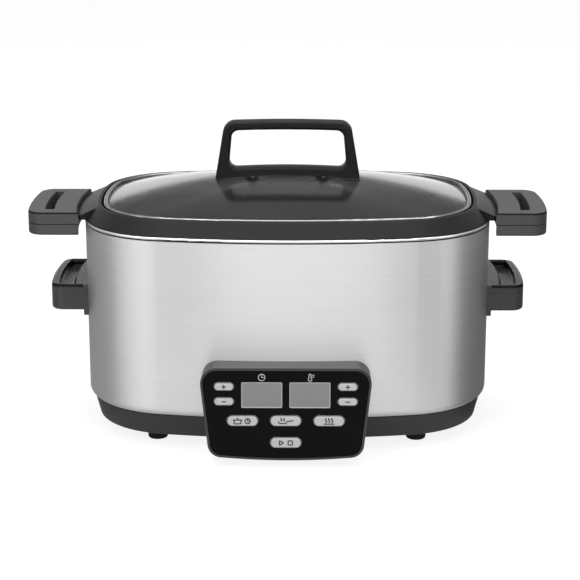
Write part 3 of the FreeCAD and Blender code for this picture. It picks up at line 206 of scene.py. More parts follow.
def node(tree, kind, inputs=None, **settings):
    """Adds one node with its settings. An input is a constant, or another node's output to link."""
    item = tree.nodes.new(kind)
    for name, setting in settings.items():
        setattr(item, name, setting)
    for name, source in (inputs or {}).items():
        if isinstance(source, bpy.types.NodeSocket):
            tree.links.new(source, item.inputs[name])
        else:
            item.inputs[name].default_value = source
    return item


def new_material(name):
    """A material with an empty node tree, that tree, and a point's place on its object in metres."""
    material = bpy.data.materials.new(name)
    material.use_nodes = True
    tree = material.node_tree
    tree.nodes.clear()
    return material, tree, node(tree, "ShaderNodeTexCoord").outputs["Object"]


def principled(tree, sockets):
    """Ends a material with one physically based shader."""
    shader = node(tree, "ShaderNodeBsdfPrincipled", sockets)
    node(tree, "ShaderNodeOutputMaterial", {"Surface": shader.outputs[0]})


def per_metre(*lengths_mm):
    """Texture scale, per metre, that makes one cell as long as each given length in millimetres."""
    return tuple(MM_PER_METRE / length for length in lengths_mm)


def opaque(colour):
    return (*colour, 1.0)


def grey(level):
    return (level, level, level, 1.0)


def shade(colour, factor):
    """A darker or lighter version of a linear colour."""
    return (*(min(1.0, c * factor) for c in colour), 1.0)


def noise(tree, place, cell_mm, detail, roughness=0.5):
    """Soft noise from 0 to 1 with cells of one length."""
    inputs = {"Vector": place, "Scale": per_metre(cell_mm)[0], "Detail": detail, "Roughness": roughness}
    return node(tree, "ShaderNodeTexNoise", inputs).outputs["Fac"]


def stretched_noise(tree, place, cells_mm, detail):
    """Soft noise from 0 to 1 with cells of one length along each axis."""
    scaled = node(tree, "ShaderNodeMapping", {"Vector": place, "Scale": per_metre(*cells_mm)}).outputs[0]
    return node(tree, "ShaderNodeTexNoise", {"Vector": scaled, "Scale": 1.0, "Detail": detail}).outputs["Fac"]


def cells(tree, place, cell_mm, **settings):
    """Voronoi cells of one length: outputs Distance and Color."""
    inputs = {"Vector": place, "Scale": per_metre(cell_mm)[0]}
    return node(tree, "ShaderNodeTexVoronoi", inputs, **settings).outputs


# A mix node's colour sockets are found by number, because its sockets for other kinds share their names.
MIX_SHARE, MIX_FIRST, MIX_SECOND, MIX_RESULT = 0, 6, 7, 2


def mixed(tree, share, first, second):
    """A colour between two: the first where the share is 0, and the second where it is 1."""
    inputs = {MIX_SHARE: share, MIX_FIRST: first, MIX_SECOND: second}
    return node(tree, "ShaderNodeMix", inputs, data_type="RGBA").outputs[MIX_RESULT]


def ramp(tree, value, low=0.0, high=1.0, start=0.0, stop=1.0):
    """Maps low to start and high to stop, straight between them and level beyond."""
    inputs = {"Value": value, "From Min": low, "From Max": high, "To Min": start, "To Max": stop}
    return node(tree, "ShaderNodeMapRange", inputs).outputs[0]


def math_of(tree, operation, *values, **settings):
    """The result of one operation on numbers or on other nodes' outputs."""
    return node(tree, "ShaderNodeMath", dict(enumerate(values)), operation=operation, **settings).outputs[0]


def varied(tree, pattern, swing, start):
    """A number that follows a pattern: start + swing times the pattern."""
    return math_of(tree, "MULTIPLY_ADD", pattern, swing, start)


def relief(tree, height, strength, depth_mm):
    """Normals bent by a pattern of heights, which is depth_mm deep at full strength."""
    inputs = {"Strength": strength, "Distance": depth_mm * MM, "Height": height}
    return node(tree, "ShaderNodeBump", inputs).outputs[0]


def off_flat(tree, facing, steep, level, soft=0.1, fade=0.06):
    """How far a surface is rounded away from a direction: 0 where it faces it squarely, 1 on the slopes.

    The cosine between normal and direction counts from where it passes steep, and stops counting at level.
    """
    normal = node(tree, "ShaderNodeNewGeometry").outputs["Normal"]
    both = {0: normal, 1: facing}
    cosine = node(tree, "ShaderNodeVectorMath", both, operation="DOT_PRODUCT").outputs["Value"]
    rising = ramp(tree, cosine, steep - soft, steep + soft)
    sloping = ramp(tree, cosine, level - fade, level, start=1.0, stop=0.0)
    return math_of(tree, "MULTIPLY", rising, sloping)


# Materials


def brushed_stainless(name, colour, roughness, grain_mm, run_mm):
    """Stainless sheet with a belt-brushed finish: long level scratches blur reflections up and down.

    The real scratches are about 0.05 mm apart, too fine to show, so they are drawn as coarse as grain_mm.
    """
    material, tree, place = new_material(name)
    grain = stretched_noise(tree, place, (run_mm, run_mm, grain_mm), detail=3.0)
    clouds = noise(tree, place, cell_mm=90, detail=2.0, roughness=0.4)
    tint = ramp(tree, grain, low=0.3, high=0.7)
    drift = varied(tree, clouds, swing=0.08, start=roughness - 0.08)
    sockets = {
        "Base Color": mixed(tree, tint, shade(colour, 0.95), shade(colour, 1.03)),
        "Metallic": 1.0,
        "Roughness": varied(tree, grain, swing=0.06, start=drift),
        "Anisotropic": 0.6,
        "Anisotropic Rotation": 0.25,
        "Normal": relief(tree, grain, strength=0.05, depth_mm=0.1),
        "Tangent": node(tree, "ShaderNodeTangent", direction_type="RADIAL", axis="Z").outputs[0],
    }
    principled(tree, sockets)
    return material


def bright_metal(name, colour, roughness, mark_mm):
    """Formed, cast or polished metal: faint handling marks of mark_mm vary the gloss and the tone."""
    material, tree, place = new_material(name)
    marks = noise(tree, place, mark_mm, detail=5.0)
    sockets = {
        "Base Color": mixed(tree, marks, shade(colour, 0.93), shade(colour, 1.05)),
        "Metallic": 1.0,
        "Roughness": varied(tree, marks, swing=0.12, start=roughness - 0.06),
        "Normal": relief(tree, marks, strength=0.04, depth_mm=0.1),
    }
    principled(tree, sockets)
    return material


def nonstick_coating(colour):
    """PTFE sprayed on cast aluminium: satin black with a faint orange peel and fine pale mineral specks.

    Specks are about 0.2 mm, drawn at 0.7 mm so that they show.
    """
    material, tree, place = new_material("nonstick_coating")
    distance = cells(tree, place, cell_mm=2.2)["Distance"]
    speck = ramp(tree, distance, low=0.06, high=0.16, start=1.0, stop=0.0)
    peel = noise(tree, place, cell_mm=1.6, detail=2.0)
    sockets = {
        "Base Color": mixed(tree, speck, opaque(colour), shade(colour, 1.3)),
        "Roughness": varied(tree, peel, swing=0.06, start=0.38),
        "IOR": 1.38,
        "Specular IOR Level": 0.3,
        "Normal": relief(tree, peel, strength=0.005, depth_mm=0.1),
    }
    principled(tree, sockets)
    return material


def moulded_plastic(name, colour, roughness, texture_mm, ior=1.5, level=0.5, edge=1.0):
    """Plastic or rubber from a spark-eroded mould: an even fine grain, with slow drifts of tone.

    Upper edges that are rounded over, and other slopes that face partly upwards, get painted shade:
    darker and duller by the factor edge.
    """
    material, tree, place = new_material(name)
    grain = noise(tree, place, texture_mm, detail=3.0)
    flow = noise(tree, place, cell_mm=45, detail=2.0)
    tone = mixed(tree, flow, shade(colour, 0.88), shade(colour, 1.12))
    # Painted shade: 1 on slopes that face partly upwards, where colour and specular level are scaled by edge.
    edge_shade_mask = off_flat(tree, UP, steep=0.15, level=0.985)
    sockets = {
        "Base Color": mixed(tree, edge_shade_mask, tone, shade(colour, edge)),
        "Roughness": varied(tree, grain, swing=0.14, start=roughness - 0.07),
        "IOR": ior,
        "Specular IOR Level": ramp(tree, edge_shade_mask, start=level, stop=level * edge),
        "Normal": relief(tree, grain, strength=0.14, depth_mm=0.08),
    }
    principled(tree, sockets)
    return material


def gloss_acrylic(colour):
    """Back-printed acrylic sheet: deep black under a hard flat gloss, with faint wiping marks."""
    material, tree, place = new_material("gloss_acrylic")
    marks = stretched_noise(tree, place, (30, 30, 4), detail=3.0)
    sockets = {
        "Base Color": mixed(tree, marks, shade(colour, 0.8), shade(colour, 1.3)),
        "Roughness": varied(tree, marks, swing=0.1, start=0.1),
        "Specular IOR Level": 0.1,
    }
    principled(tree, sockets)
    return material


def blank_display(colour):
    """Liquid crystal panel with no segment on: grey under a polarising film, and paler to its top as painted
    light.

    The film's matt grain is about 0.05 mm, drawn at 0.4 mm so that it shows.
    """
    material, tree, place = new_material("blank_display")
    grain = noise(tree, place, cell_mm=0.4, detail=2.0)
    height = node(tree, "ShaderNodeSeparateXYZ", {0: place}).outputs["Z"]
    bottom, top = (corner.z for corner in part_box("time_display"))
    # Painted light: from 0.86 of the colour at the display's bottom to 1.12 at its top.
    painted_top_light = mixed(tree, ramp(tree, height, bottom, top), shade(colour, 0.86), shade(colour, 1.12))
    sockets = {
        "Base Color": mixed(tree, grain, painted_top_light, opaque(colour)),
        "Roughness": varied(tree, grain, swing=0.1, start=0.2),
        "IOR": 1.49,
    }
    principled(tree, sockets)
    return material


def silver_lacquer(colour):
    """Metallic lacquer on moulded keys: aluminium flakes under a clear coat, soft silver with fine sparkle.

    Flakes are about 0.03 mm, drawn at 0.25 mm so that they show. The rounded edges, which slope away from
    the console's face, get painted shade down to 0.3 of the colour.
    """
    material, tree, place = new_material("silver_lacquer")
    flakes = cells(tree, place, cell_mm=0.25)["Color"]
    sparkle = node(tree, "ShaderNodeSeparateColor", {0: flakes}).outputs
    tone = mixed(tree, sparkle[0], shade(colour, 0.9), shade(colour, 1.08))
    # Painted shade: faces that slope away from the console's face darken to 0.3 of the colour.
    painted_rim_shade = off_flat(tree, tuple(FACE_OUT), steep=0.1, level=0.98)
    sockets = {
        "Base Color": mixed(tree, painted_rim_shade, tone, shade(colour, 0.3)),
        "Metallic": 0.55,
        "Roughness": varied(tree, sparkle[1], swing=0.12, start=0.3),
        "Coat Weight": 0.3,
        "Coat Roughness": 0.15,
    }
    principled(tree, sockets)
    return material


def tempered_glass(colour):
    """Tempered soda-lime glass, softly blurred, with roller waves about 120 mm long and 0.01 mm deep."""
    material, tree, place = new_material("tempered_glass")
    waves = noise(tree, place, cell_mm=120, detail=0.0)
    sockets = {
        "Base Color": opaque(colour),
        "Roughness": 0.11,
        "IOR": 1.5,
        "Transmission Weight": 1.0,
        "Normal": relief(tree, waves, strength=0.05, depth_mm=0.2),
    }
    principled(tree, sockets)
    return material


def solder_mask(colour):
    """Green solder mask over copper tracks on laminate: tracks show as paler runs at right angles."""
    material, tree, place = new_material("solder_mask")
    tracks = cells(tree, place, cell_mm=6, distance="CHEBYCHEV", feature="F2")
    run = ramp(tree, tracks["Distance"], low=0.55, high=0.6)
    sockets = {
        "Base Color": mixed(tree, run, opaque(colour), shade(colour, 1.5)),
        "Roughness": 0.3,
        "Normal": relief(tree, run, strength=0.3, depth_mm=0.05),
    }
    principled(tree, sockets)
    return material


def screen_ink(name, colour):
    """Screen-printed ink: matt, with the slightly uneven cover that a mesh leaves."""
    material, tree, place = new_material(name)
    cover = noise(tree, place, cell_mm=0.3, detail=2.0)
    tone = mixed(tree, cover, shade(colour, 0.9), shade(colour, 1.1))
    principled(tree, {"Base Color": tone, "Roughness": 0.55})
    return material


def finish(material, *names):
    """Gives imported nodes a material."""
    for name in names:
        slots = NODES[name].data.materials
        slots.clear()
        slots.append(material)


# Surfaces


def tube(rows, closed=False):
    """Skin over an (n, m, 3) array of sections: quads join each row to the next and each section to itself.

    A closed tube joins its last row to its first, and an open one gets a fan of triangles at each end.
    """
    count, around = rows.shape[:2]
    index = np.arange(count * around).reshape(count, around)
    beside = np.roll(index, -1, axis=1)
    here = slice(None) if closed else slice(None, -1)
    ahead = np.roll(index, -1, axis=0)[here]
    ahead_beside = np.roll(beside, -1, axis=0)[here]
    faces = np.stack([index[here], beside[here], ahead_beside, ahead], -1).reshape(-1, 4).tolist()
    points = rows.reshape(-1, 3)
    if not closed:
        ends = np.stack([rows[0].mean(0), rows[-1].mean(0)])
        first, last = len(points), len(points) + 1
        faces += np.stack([beside[0], index[0], np.full(around, first)], -1).tolist()
        faces += np.stack([index[-1], beside[-1], np.full(around, last)], -1).tolist()
        points = np.concatenate([points, ends])
    return points, faces


def new_piece(name, shapes, material, body):
    """Makes one piece from several (points, faces) shapes, and lets it ride on a body."""
    starts = np.cumsum([0] + [len(points) for points, _ in shapes])
    points = np.concatenate([points for points, _ in shapes])
    faces = [[i + start for i in face] for (_, fs), start in zip(shapes, starts) for face in fs]
    mesh = bpy.data.meshes.new(name)
    mesh.from_pydata(points.tolist(), [], faces)
    shell = bmesh.new()
    shell.from_mesh(mesh)
    bmesh.ops.recalc_face_normals(shell, faces=shell.faces)
    shell.to_mesh(mesh)
    shell.free()
    mesh.shade_smooth()
    mesh.materials.append(material)
    piece = bpy.data.objects.new(name, mesh)
    bpy.context.scene.collection.objects.link(piece)
    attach(piece, body)
    return piece


SECTION_POINTS = 12
ROUND_SECTION = np.linspace(0, 2 * np.pi, SECTION_POINTS + 1)[:-1]
END_STEPS = np.linspace(0, np.pi / 2, 5)
SMALLEST_END = 0.02


def stroke(path, width, rise, closed=False):
    """A printed line in millimetres: an ellipse, width by twice the rise, carried along a flat path.

    At an open end the ellipse shrinks as cos(s) while it moves on by sin(s) half widths, so the end is round.
    """
    path = np.asarray(path, float)
    if closed:
        ahead = np.roll(path, -1, axis=0) - np.roll(path, 1, axis=0)
    else:
        ahead = np.gradient(path, axis=0)
    ahead /= np.linalg.norm(ahead, axis=1, keepdims=True)
    scale = np.ones(len(path))
    if not closed:
        reach = width / 2 * np.sin(END_STEPS)[:, None]
        shrink = np.maximum(np.cos(END_STEPS), SMALLEST_END)
        path = np.concatenate([path[0] - (reach * ahead[0])[::-1], path[1:-1], path[-1] + reach * ahead[-1]])
        scale = np.concatenate([shrink[::-1], scale[1:-1], shrink])
        grown = len(END_STEPS) - 1
        ahead = np.concatenate([np.repeat(ahead[:1], grown, 0), ahead, np.repeat(ahead[-1:], grown, 0)])
    beside = np.stack([-ahead[:, 1], ahead[:, 0]], -1)
    sides = width / 2 * scale[:, None] * np.cos(ROUND_SECTION)
    heights = rise * scale[:, None] * np.sin(ROUND_SECTION)
    flat = path[:, None, :] + sides[..., None] * beside[:, None, :]
    return np.concatenate([flat, heights[..., None]], -1), closed


# Signs, as paths in millimetres about a sign's middle


def line(*points):
    """Straight runs through the given points, each run with a few points of its own."""
    points = np.asarray(points, float)
    steps = np.linspace(0, 1, 5)[:-1, None]
    runs = [a + (b - a) * steps for a, b in zip(points[:-1], points[1:])]
    return np.concatenate(runs + [points[-1:]])


def arc(centre, radius, start, stop, count=24):
    """Part of a circle, from one angle in degrees to another."""
    angles = np.radians(np.linspace(start, stop, count))
    return np.asarray(centre) + radius * np.stack([np.cos(angles), np.sin(angles)], -1)


def wave(x, low, high, swing):
    """A rising line that swings once to each side: x + swing sin(2 pi t)."""
    rise = np.linspace(0, 1, 17)
    return np.stack([x + swing * np.sin(2 * np.pi * rise), low + (high - low) * rise], -1)


def ring(centre, radius):
    return arc(centre, radius, 0, 345), True


def plus_sign():
    return [(line((-1.5, 0), (1.5, 0)), False), (line((0, -1.5), (0, 1.5)), False)]


def minus_sign():
    return [(line((-1.5, 0), (1.5, 0)), False)]


def clock_sign(at=(0.0, 0.0), radius=2.2):
    """A dial with two hands."""
    x, y = at
    hands = line((x, y + 0.6 * radius), (x, y), (x + 0.5 * radius, y))
    return [ring(at, radius), (hands, False)]


def thermometer_sign():
    """A bulb under a round-ended stem, with two marks beside it."""
    bulb = arc((0, -1.6), 1.5, 130, 410)
    stem = arc((0, 2.1), 0.95, 0, 180, 9)
    outline = np.concatenate([bulb, stem])
    marks = [(line((2.2, y), (3.4, y)), False) for y in (0.5, 2.1)]
    return [(outline, True), *marks]


def pot_sign(at):
    """A pot with round lower corners, its lid and a knob."""
    x, y = at
    left_side = line((x - 2.9, y + 0.5), (x - 2.9, y - 1.2))
    left_corner = arc((x - 1.9, y - 1.4), 1.0, 190, 270, 7)
    right_corner = arc((x + 1.9, y - 1.4), 1.0, 270, 350, 7)
    right_side = line((x + 2.9, y - 1.2), (x + 2.9, y + 0.5))
    bowl = np.concatenate([left_side, left_corner, right_corner, right_side])
    lid = line((x - 3.7, y + 0.9), (x + 3.7, y + 0.9))
    knob = line((x - 0.6, y + 2.2), (x + 0.6, y + 2.2))
    return [(bowl, False), (lid, False), (knob, False)]


def pan_sign(at):
    """A shallow pan with a long handle, and two waves of heat above it."""
    x, y = at
    side = arc((x - 2.0, y - 0.4), 1.6, 180, 270, 9)
    other = arc((x + 2.0, y - 0.4), 1.6, 270, 360, 9)
    handle = line((x + 4.4, y - 0.2), (x + 8.6, y + 0.5))
    heat = [(wave(x + dx, y + 0.2, y + 2.5, 0.45), False) for dx in (-1.2, 1.2)]
    return [(np.concatenate([side, other]), False), (handle, False), *heat]


def steam_sign(at):
    """Three waves of steam over a level line."""
    x, y = at
    waves = [(wave(x + dx, y - 1.1, y + 2.5, 0.55), False) for dx in (-2.6, 0, 2.6)]
    return [*waves, (line((x - 4.2, y - 2.4), (x + 4.2, y - 2.4)), False)]


def start_stop_sign():
    """A triangle to start and a square to stop."""
    triangle = line((-5.4, -2.0), (-5.4, 2.0), (-1.9, 0), (-5.4, -2.0))[:-1]
    square = line((2.0, -1.8), (5.6, -1.8), (5.6, 1.8), (2.0, 1.8), (2.0, -1.8))[:-1]
    return [(triangle, True), (square, True)]


BUTTON_SIGNS = {
    "time_plus": plus_sign(),
    "time_minus": minus_sign(),
    "temperature_plus": plus_sign(),
    "temperature_minus": minus_sign(),
    "mode_left": pot_sign((-4.2, 0)) + clock_sign((4.4, 0)),
    "mode_middle": pan_sign((-2.6, 0)),
    "mode_right": steam_sign((0, 0)),
    "start_stop": start_stop_sign(),
}
DISPLAY_SIGNS = {"time_display": clock_sign(radius=2.8), "temperature_display": thermometer_sign()}


def sign_piece(name, strokes, width, spot, material, body):
    """Prints the strokes of one sign at a spot of the console's face."""
    rise = bpy.context.scene.cooker_sizes.ink_rise / MM
    rows = [stroke(path, width / MM, rise, closed) for path, closed in strokes]
    shapes = [tube(on_face(points, spot), closed) for points, closed in rows]
    return new_piece(name, shapes, material, body)


# Frames, screw heads and the spring


CORNER_STEPS = 7
FRAME_CORNER_MM = 1.6
FRAME_PROUD_MM = 0.45
FRAME_SUNK_MM = 0.02
FRAME_BACK_MM = -0.05


def display_frame(name, sizes, material):
    """A bevelled frame round a display: a sloping strip, carried round a rounded rectangle.

    The section is four points: the outer edge in front and behind, and the inner edge behind and in front,
    with the inner front edge sunk so that the strip slopes to the panel.
    """
    spot, half = face_flat(name)
    outer, inner = FRAME_CORNER_MM, FRAME_CORNER_MM - sizes.frame_width / MM
    angles = np.radians(np.concatenate([np.linspace(q, q + 90, CORNER_STEPS) for q in (0, 90, 180, 270)]))
    turn = np.stack([np.cos(angles), np.sin(angles)], -1)
    quarter = np.repeat([(1, 1), (-1, 1), (-1, -1), (1, -1)], CORNER_STEPS, axis=0)
    middles = quarter * (half / MM - FRAME_CORNER_MM)
    section = (
        (outer, FRAME_PROUD_MM),
        (outer, FRAME_BACK_MM),
        (inner, FRAME_BACK_MM),
        (inner, FRAME_SUNK_MM),
    )
    edges = [np.column_stack([middles + radius * turn, np.full(len(turn), high)]) for radius, high in section]
    rows = np.stack(edges, axis=1)
    return new_piece(f"{name}_frame", [tube(on_face(rows, spot), True)], material, "base")


def clusters(points, gap):
    """Groups of points that lie further apart than the gap, found along x and then along y."""
    groups = [points]
    for axis in (0, 1):
        ordered = [group[np.argsort(group[:, axis])] for group in groups]
        cuts = [np.flatnonzero(np.diff(row[:, axis]) > gap) + 1 for row in ordered]
        groups = [part for row, cut in zip(ordered, cuts) for part in np.split(row, cut)]
    return groups


CROWN_HEIGHT = 0.7 * MM
RECESS_DEPTH = 0.6 * MM
CROWN_RINGS = np.linspace(0.04, 1, 22)
CROWN_SPOKES = np.linspace(0, 2 * np.pi, 49)[:-1]
ARM_REACH, ARM_SOFT_END = 0.62, 0.1
ARM_HALF_WIDTH, ARM_SOFT_SIDE = 0.2, 0.08


def cross_arm(reach, side):
    """An arm of a cross recess, in shares of the head's radius: 1 inside, 0 past its soft end and sides."""
    lengthwise = np.clip((ARM_REACH - reach) / ARM_SOFT_END, 0, 1)
    sideways = np.clip((ARM_HALF_WIDTH - side) / ARM_SOFT_SIDE, 0, 1)
    return lengthwise * sideways


def screw_crown(points):
    """A raised crown with a cross recess on the underside of an upright screw's head, in metres.

    Polar field over radius r and angle a: height = (crown - depth m) (1 - r^2), where m is 1 in two arms that
    cross and falls to 0 over their soft sides. The outermost ring is the edge of the head's flat.
    """
    flat = points[points[:, 2] < points[:, 2].min() + SAME_LEVEL]
    middle = (flat.min(0) + flat.max(0)) / 2
    radius = np.ptp(flat[:, 0]) / 2
    r, a = np.meshgrid(CROWN_RINGS, CROWN_SPOKES, indexing="ij")
    across, along = np.abs(r * np.cos(a)), np.abs(r * np.sin(a))
    recess = np.maximum(cross_arm(across, along), cross_arm(along, across))
    height = CROWN_HEIGHT * (1 - r**2) - RECESS_DEPTH * recess * (1 - r**2)
    offset = np.stack([radius * r * np.cos(a), radius * r * np.sin(a), -height], -1)
    return tube(middle + offset)


STEPS_PER_TURN = 36


def coil_spring(low, high, turns, wire):
    """A round wire wound into an open coil that fills the box between two corners, in metres.

    Along an angle a from 0 to 2 pi turns, the wire's middle is R (cos a, sin a) while it climbs evenly. Its
    section is a circle of radius wire, spread between the way out from the axis and the way across the wire.
    """
    radius = (high.x - low.x) / 2 - wire
    a = np.linspace(0, 2 * np.pi * turns, STEPS_PER_TURN * turns + 1)
    out = np.stack([np.cos(a), np.sin(a), np.zeros_like(a)], -1)
    climb = (high.z - low.z - 2 * wire) / a[-1]
    ahead = np.stack([-radius * np.sin(a), radius * np.cos(a), np.full_like(a, climb)], -1)
    across = np.cross(ahead / np.linalg.norm(ahead, axis=1, keepdims=True), out)
    start = np.array([(low.x + high.x) / 2, (low.y + high.y) / 2, low.z + wire])
    middle = start + radius * out + climb * a[:, None] * np.array([0.0, 0.0, 1.0])
    cosine, sine = np.cos(ROUND_SECTION)[:, None], np.sin(ROUND_SECTION)[:, None]
    return tube(middle[:, None] + wire * (cosine * out[:, None] + sine * across[:, None]))


# Stage


class Card(NamedTuple):
    """A card that only metal and glass see: its grey below one height and above another, and its place."""

    name: str
    greys: tuple
    heights: tuple
    middle: tuple
    ways: tuple
    half: tuple


class Lamp(NamedTuple):
    """A square lamp: its place, the length of its sides and the setting that holds its power."""

    name: str
    place: tuple
    size: float
    setting: str


EVEN = (0, 1)
CARDS = (
    Card("left_card", (0.33, 0.9), (0.2, 0.3), (-0.30, 0.09, 0.22), (AWAY, UP), (0.20, 0.22)),
    Card("left_floor_card", (0.33, 0.33), EVEN, (-0.25, 0.10, 0.001), (AWAY, RIGHT), (0.21, 0.07)),
    Card("right_card", (0.14, 0.9), (0.2, 0.3), (0.30, 0.08, 0.22), (AWAY, UP), (0.20, 0.22)),
    Card("right_floor_card", (0.14, 0.14), EVEN, (0.25, 0.09, 0.001), (AWAY, RIGHT), (0.21, 0.07)),
    Card("front_left_card", (0.3, 0.3), EVEN, (-0.2, -0.36, 0.16), (RIGHT, UP), (0.06, 0.16)),
    Card("front_right_card", (0.22, 0.22), EVEN, (0.36, -0.36, 0.16), (RIGHT, UP), (0.17, 0.16)),
    Card("front_card", (2.0, 2.0), EVEN, (0, -2.6, 1.5), (RIGHT, UP), (3.0, 1.2)),
    Card("back_card", (0.09, 0.33), (0.62, 2), (0, 2.2, 2.86), (RIGHT, UP), (6.0, 2.24)),
)
LAMPS = (
    Lamp("key_lamp", (-1.0, -1.2, 1.3), 1.2, "key"),
    Lamp("fill_lamp", (1.2, -1.1, 0.8), 1.0, "fill"),
    Lamp("top_lamp", (0.0, 0.1, 1.9), 1.5, "top"),
)
FLOOR_HALF = 4.0
SENSOR_WIDTH_MM = 36.0


def stage_plane(name, material, middle, ways, half):
    """A flat rectangle: its middle plus and minus each half size along that size's way."""
    ends = np.array([(-1, -1), (1, -1), (1, 1), (-1, 1)], float) * half
    points = np.array(middle) + ends @ np.array(ways, float)
    mesh = bpy.data.meshes.new(name)
    mesh.from_pydata(points.tolist(), [], [(0, 1, 2, 3)])
    mesh.materials.append(material)
    plane = bpy.data.objects.new(name, mesh)
    bpy.context.scene.collection.objects.link(plane)
    return plane


def seen_or_mirrored(tree, shaded, seen, mirrored):
    """Strength of a white surface to the camera and through glass, in mirrors, and as light on the rest."""
    path = node(tree, "ShaderNodeLightPath").outputs
    through = path["Is Transmission Ray"]
    direct = math_of(tree, "MAXIMUM", path["Is Camera Ray"], through)
    mirror = math_of(tree, "SUBTRACT", path["Is Glossy Ray"], through, use_clamp=True)
    unmirrored = ramp(tree, direct, start=shaded, stop=seen)
    return ramp(tree, mirror, start=unmirrored, stop=mirrored)


def floor_paper():
    """White studio paper: it shows as white, and is still a little darker where the cooker shades it."""
    material, tree, place = new_material("floor_paper")
    fibres = noise(tree, place, cell_mm=4, detail=2.0)
    matt = node(tree, "ShaderNodeBsdfDiffuse", {"Color": mixed(tree, fibres, grey(0.29), grey(0.31))})
    strength = seen_or_mirrored(tree, shaded=0.34, seen=0.86, mirrored=0.42)
    glow = node(tree, "ShaderNodeEmission", {"Color": grey(1), "Strength": strength})
    both = node(tree, "ShaderNodeAddShader", {0: matt.outputs[0], 1: glow.outputs[0]})
    node(tree, "ShaderNodeOutputMaterial", {"Surface": both.outputs[0]})
    return material


def card_paper(card):
    """A glow of one grey at and below a height, and of another at and above a second one."""
    material, tree, place = new_material(f"{card.name}_paper")
    height = node(tree, "ShaderNodeSeparateXYZ", {0: place}).outputs["Z"]
    strength = ramp(tree, height, *card.heights, *card.greys)
    glow = node(tree, "ShaderNodeEmission", {"Color": grey(1), "Strength": strength})
    node(tree, "ShaderNodeOutputMaterial", {"Surface": glow.outputs[0]})
    return material


def surround(scene, level):
    """White all round for what the camera, metal and glass see, and a softer light for everything else."""
    world = bpy.data.worlds.new("studio")
    world.use_nodes = True
    tree = world.node_tree
    tree.nodes.clear()
    strength = seen_or_mirrored(tree, shaded=level, seen=1.0, mirrored=1.35)
    light = node(tree, "ShaderNodeBackground", {"Color": grey(1), "Strength": strength})
    node(tree, "ShaderNodeOutputWorld", {"Surface": light.outputs[0]})
    scene.world = world


# Operators


class COOKER_OT_shell(bpy.types.Operator):
    """Gives the shell, the liner and the heater their metals, and the sensor a coil spring"""

    bl_idname = "cooker.shell"
    bl_label = "Steel shell and liner"

    spring_turns = 5

    def execute(self, context):
        colours = context.scene.cooker_colours
        shell = brushed_stainless(
            "brushed_stainless", colours.shell, roughness=0.52, grain_mm=0.5, run_mm=130
        )
        finish(shell, "outer_shell")
        finish(bright_metal("drawn_stainless", colours.liner, roughness=0.3, mark_mm=12), "inner_liner")
        cast = bright_metal("cast_aluminium", colours.aluminium, roughness=0.45, mark_mm=3)
        finish(cast, "heater_plate", "sensor_holder", "sensor_cap")
        drawn = bright_metal("drawn_steel", colours.screws, roughness=0.35, mark_mm=2)
        finish(drawn, "heating_element", "thermal_fuse")
        self.press_spring(context.scene.cooker_sizes, drawn)
        return {"FINISHED"}

    def press_spring(self, sizes, material):
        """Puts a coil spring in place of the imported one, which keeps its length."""
        low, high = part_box("sensor_spring")
        coil = coil_spring(low, high, self.spring_turns, sizes.spring_wire)
        piece = new_piece("sensor_coil", [coil], material, "base")
        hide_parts("sensor_spring")
        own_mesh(piece)


class COOKER_OT_pot(bpy.types.Operator):
    """Gives the pot and its grips their coating and plastic"""

    bl_idname = "cooker.pot"
    bl_label = "Pot and grips"

    def execute(self, context):
        colours = context.scene.cooker_colours
        finish(nonstick_coating(colours.coating), "cooking_pot")
        names = [f"pot_grip_{side}_{half}" for side in ("left", "right") for half in ("top", "bottom")]
        # edge=0.15 paints shade on the grips' upper rounded edges, down to 0.15 of the colour.
        grips = moulded_plastic(
            "grey_phenolic", colours.grips, roughness=0.5, texture_mm=0.7, ior=1.58, edge=0.15
        )
        finish(grips, *names)
        return {"FINISHED"}


class COOKER_OT_lid(bpy.types.Operator):
    """Gives the lid its glass, its polished band and its handle"""

    bl_idname = "cooker.lid"
    bl_label = "Glass lid"

    def execute(self, context):
        colours = context.scene.cooker_colours
        finish(tempered_glass(colours.glass), "lid_glass")
        finish(bright_metal("polished_stainless", colours.band, roughness=0.22, mark_mm=8), "lid_rim")
        handle = moulded_plastic(
            "black_phenolic", colours.handle, roughness=0.42, texture_mm=0.7, ior=1.58, level=0.16
        )
        finish(handle, "lid_handle")
        return {"FINISHED"}


class COOKER_OT_housing(bpy.types.Operator):
    """Gives the base, the side handles, the feet and the seals their plastics and rubber"""

    bl_idname = "cooker.housing"
    bl_label = "Base and handles"

    def execute(self, context):
        colours = context.scene.cooker_colours
        # edge=0.5 paints shade on the housing's upper rounded edges, down to half the colour.
        housing = moulded_plastic(
            "polypropylene_moulding", colours.housing, roughness=0.4, texture_mm=0.8, edge=0.5
        )
        finish(housing, "console_housing")
        # edge=0.15 paints shade on the side handles' rounded edges and dish walls, down to 0.15 of the colour.
        handles = moulded_plastic(
            "satin_polypropylene", colours.handles, roughness=0.26, texture_mm=0.8, level=0.6, edge=0.15
        )
        finish(handles, "side_handle_left", "side_handle_right")
        # The skirt's darker colour is painted shade.
        skirt = moulded_plastic("dark_polypropylene", colours.skirt, roughness=0.5, texture_mm=0.8)
        finish(skirt, "base_skirt")
        cover = moulded_plastic("black_polypropylene", colours.cover, roughness=0.55, texture_mm=0.9)
        finish(cover, "bottom_cover")
        rubber = moulded_plastic("black_rubber", colours.rubber, roughness=0.7, texture_mm=1.1, level=0.2)
        feet = [f"foot_{end}_{side}" for end in ("front", "rear") for side in ("left", "right")]
        finish(rubber, *feet, "rim_gasket", "lid_washers", "cord_gland")
        return {"FINISHED"}


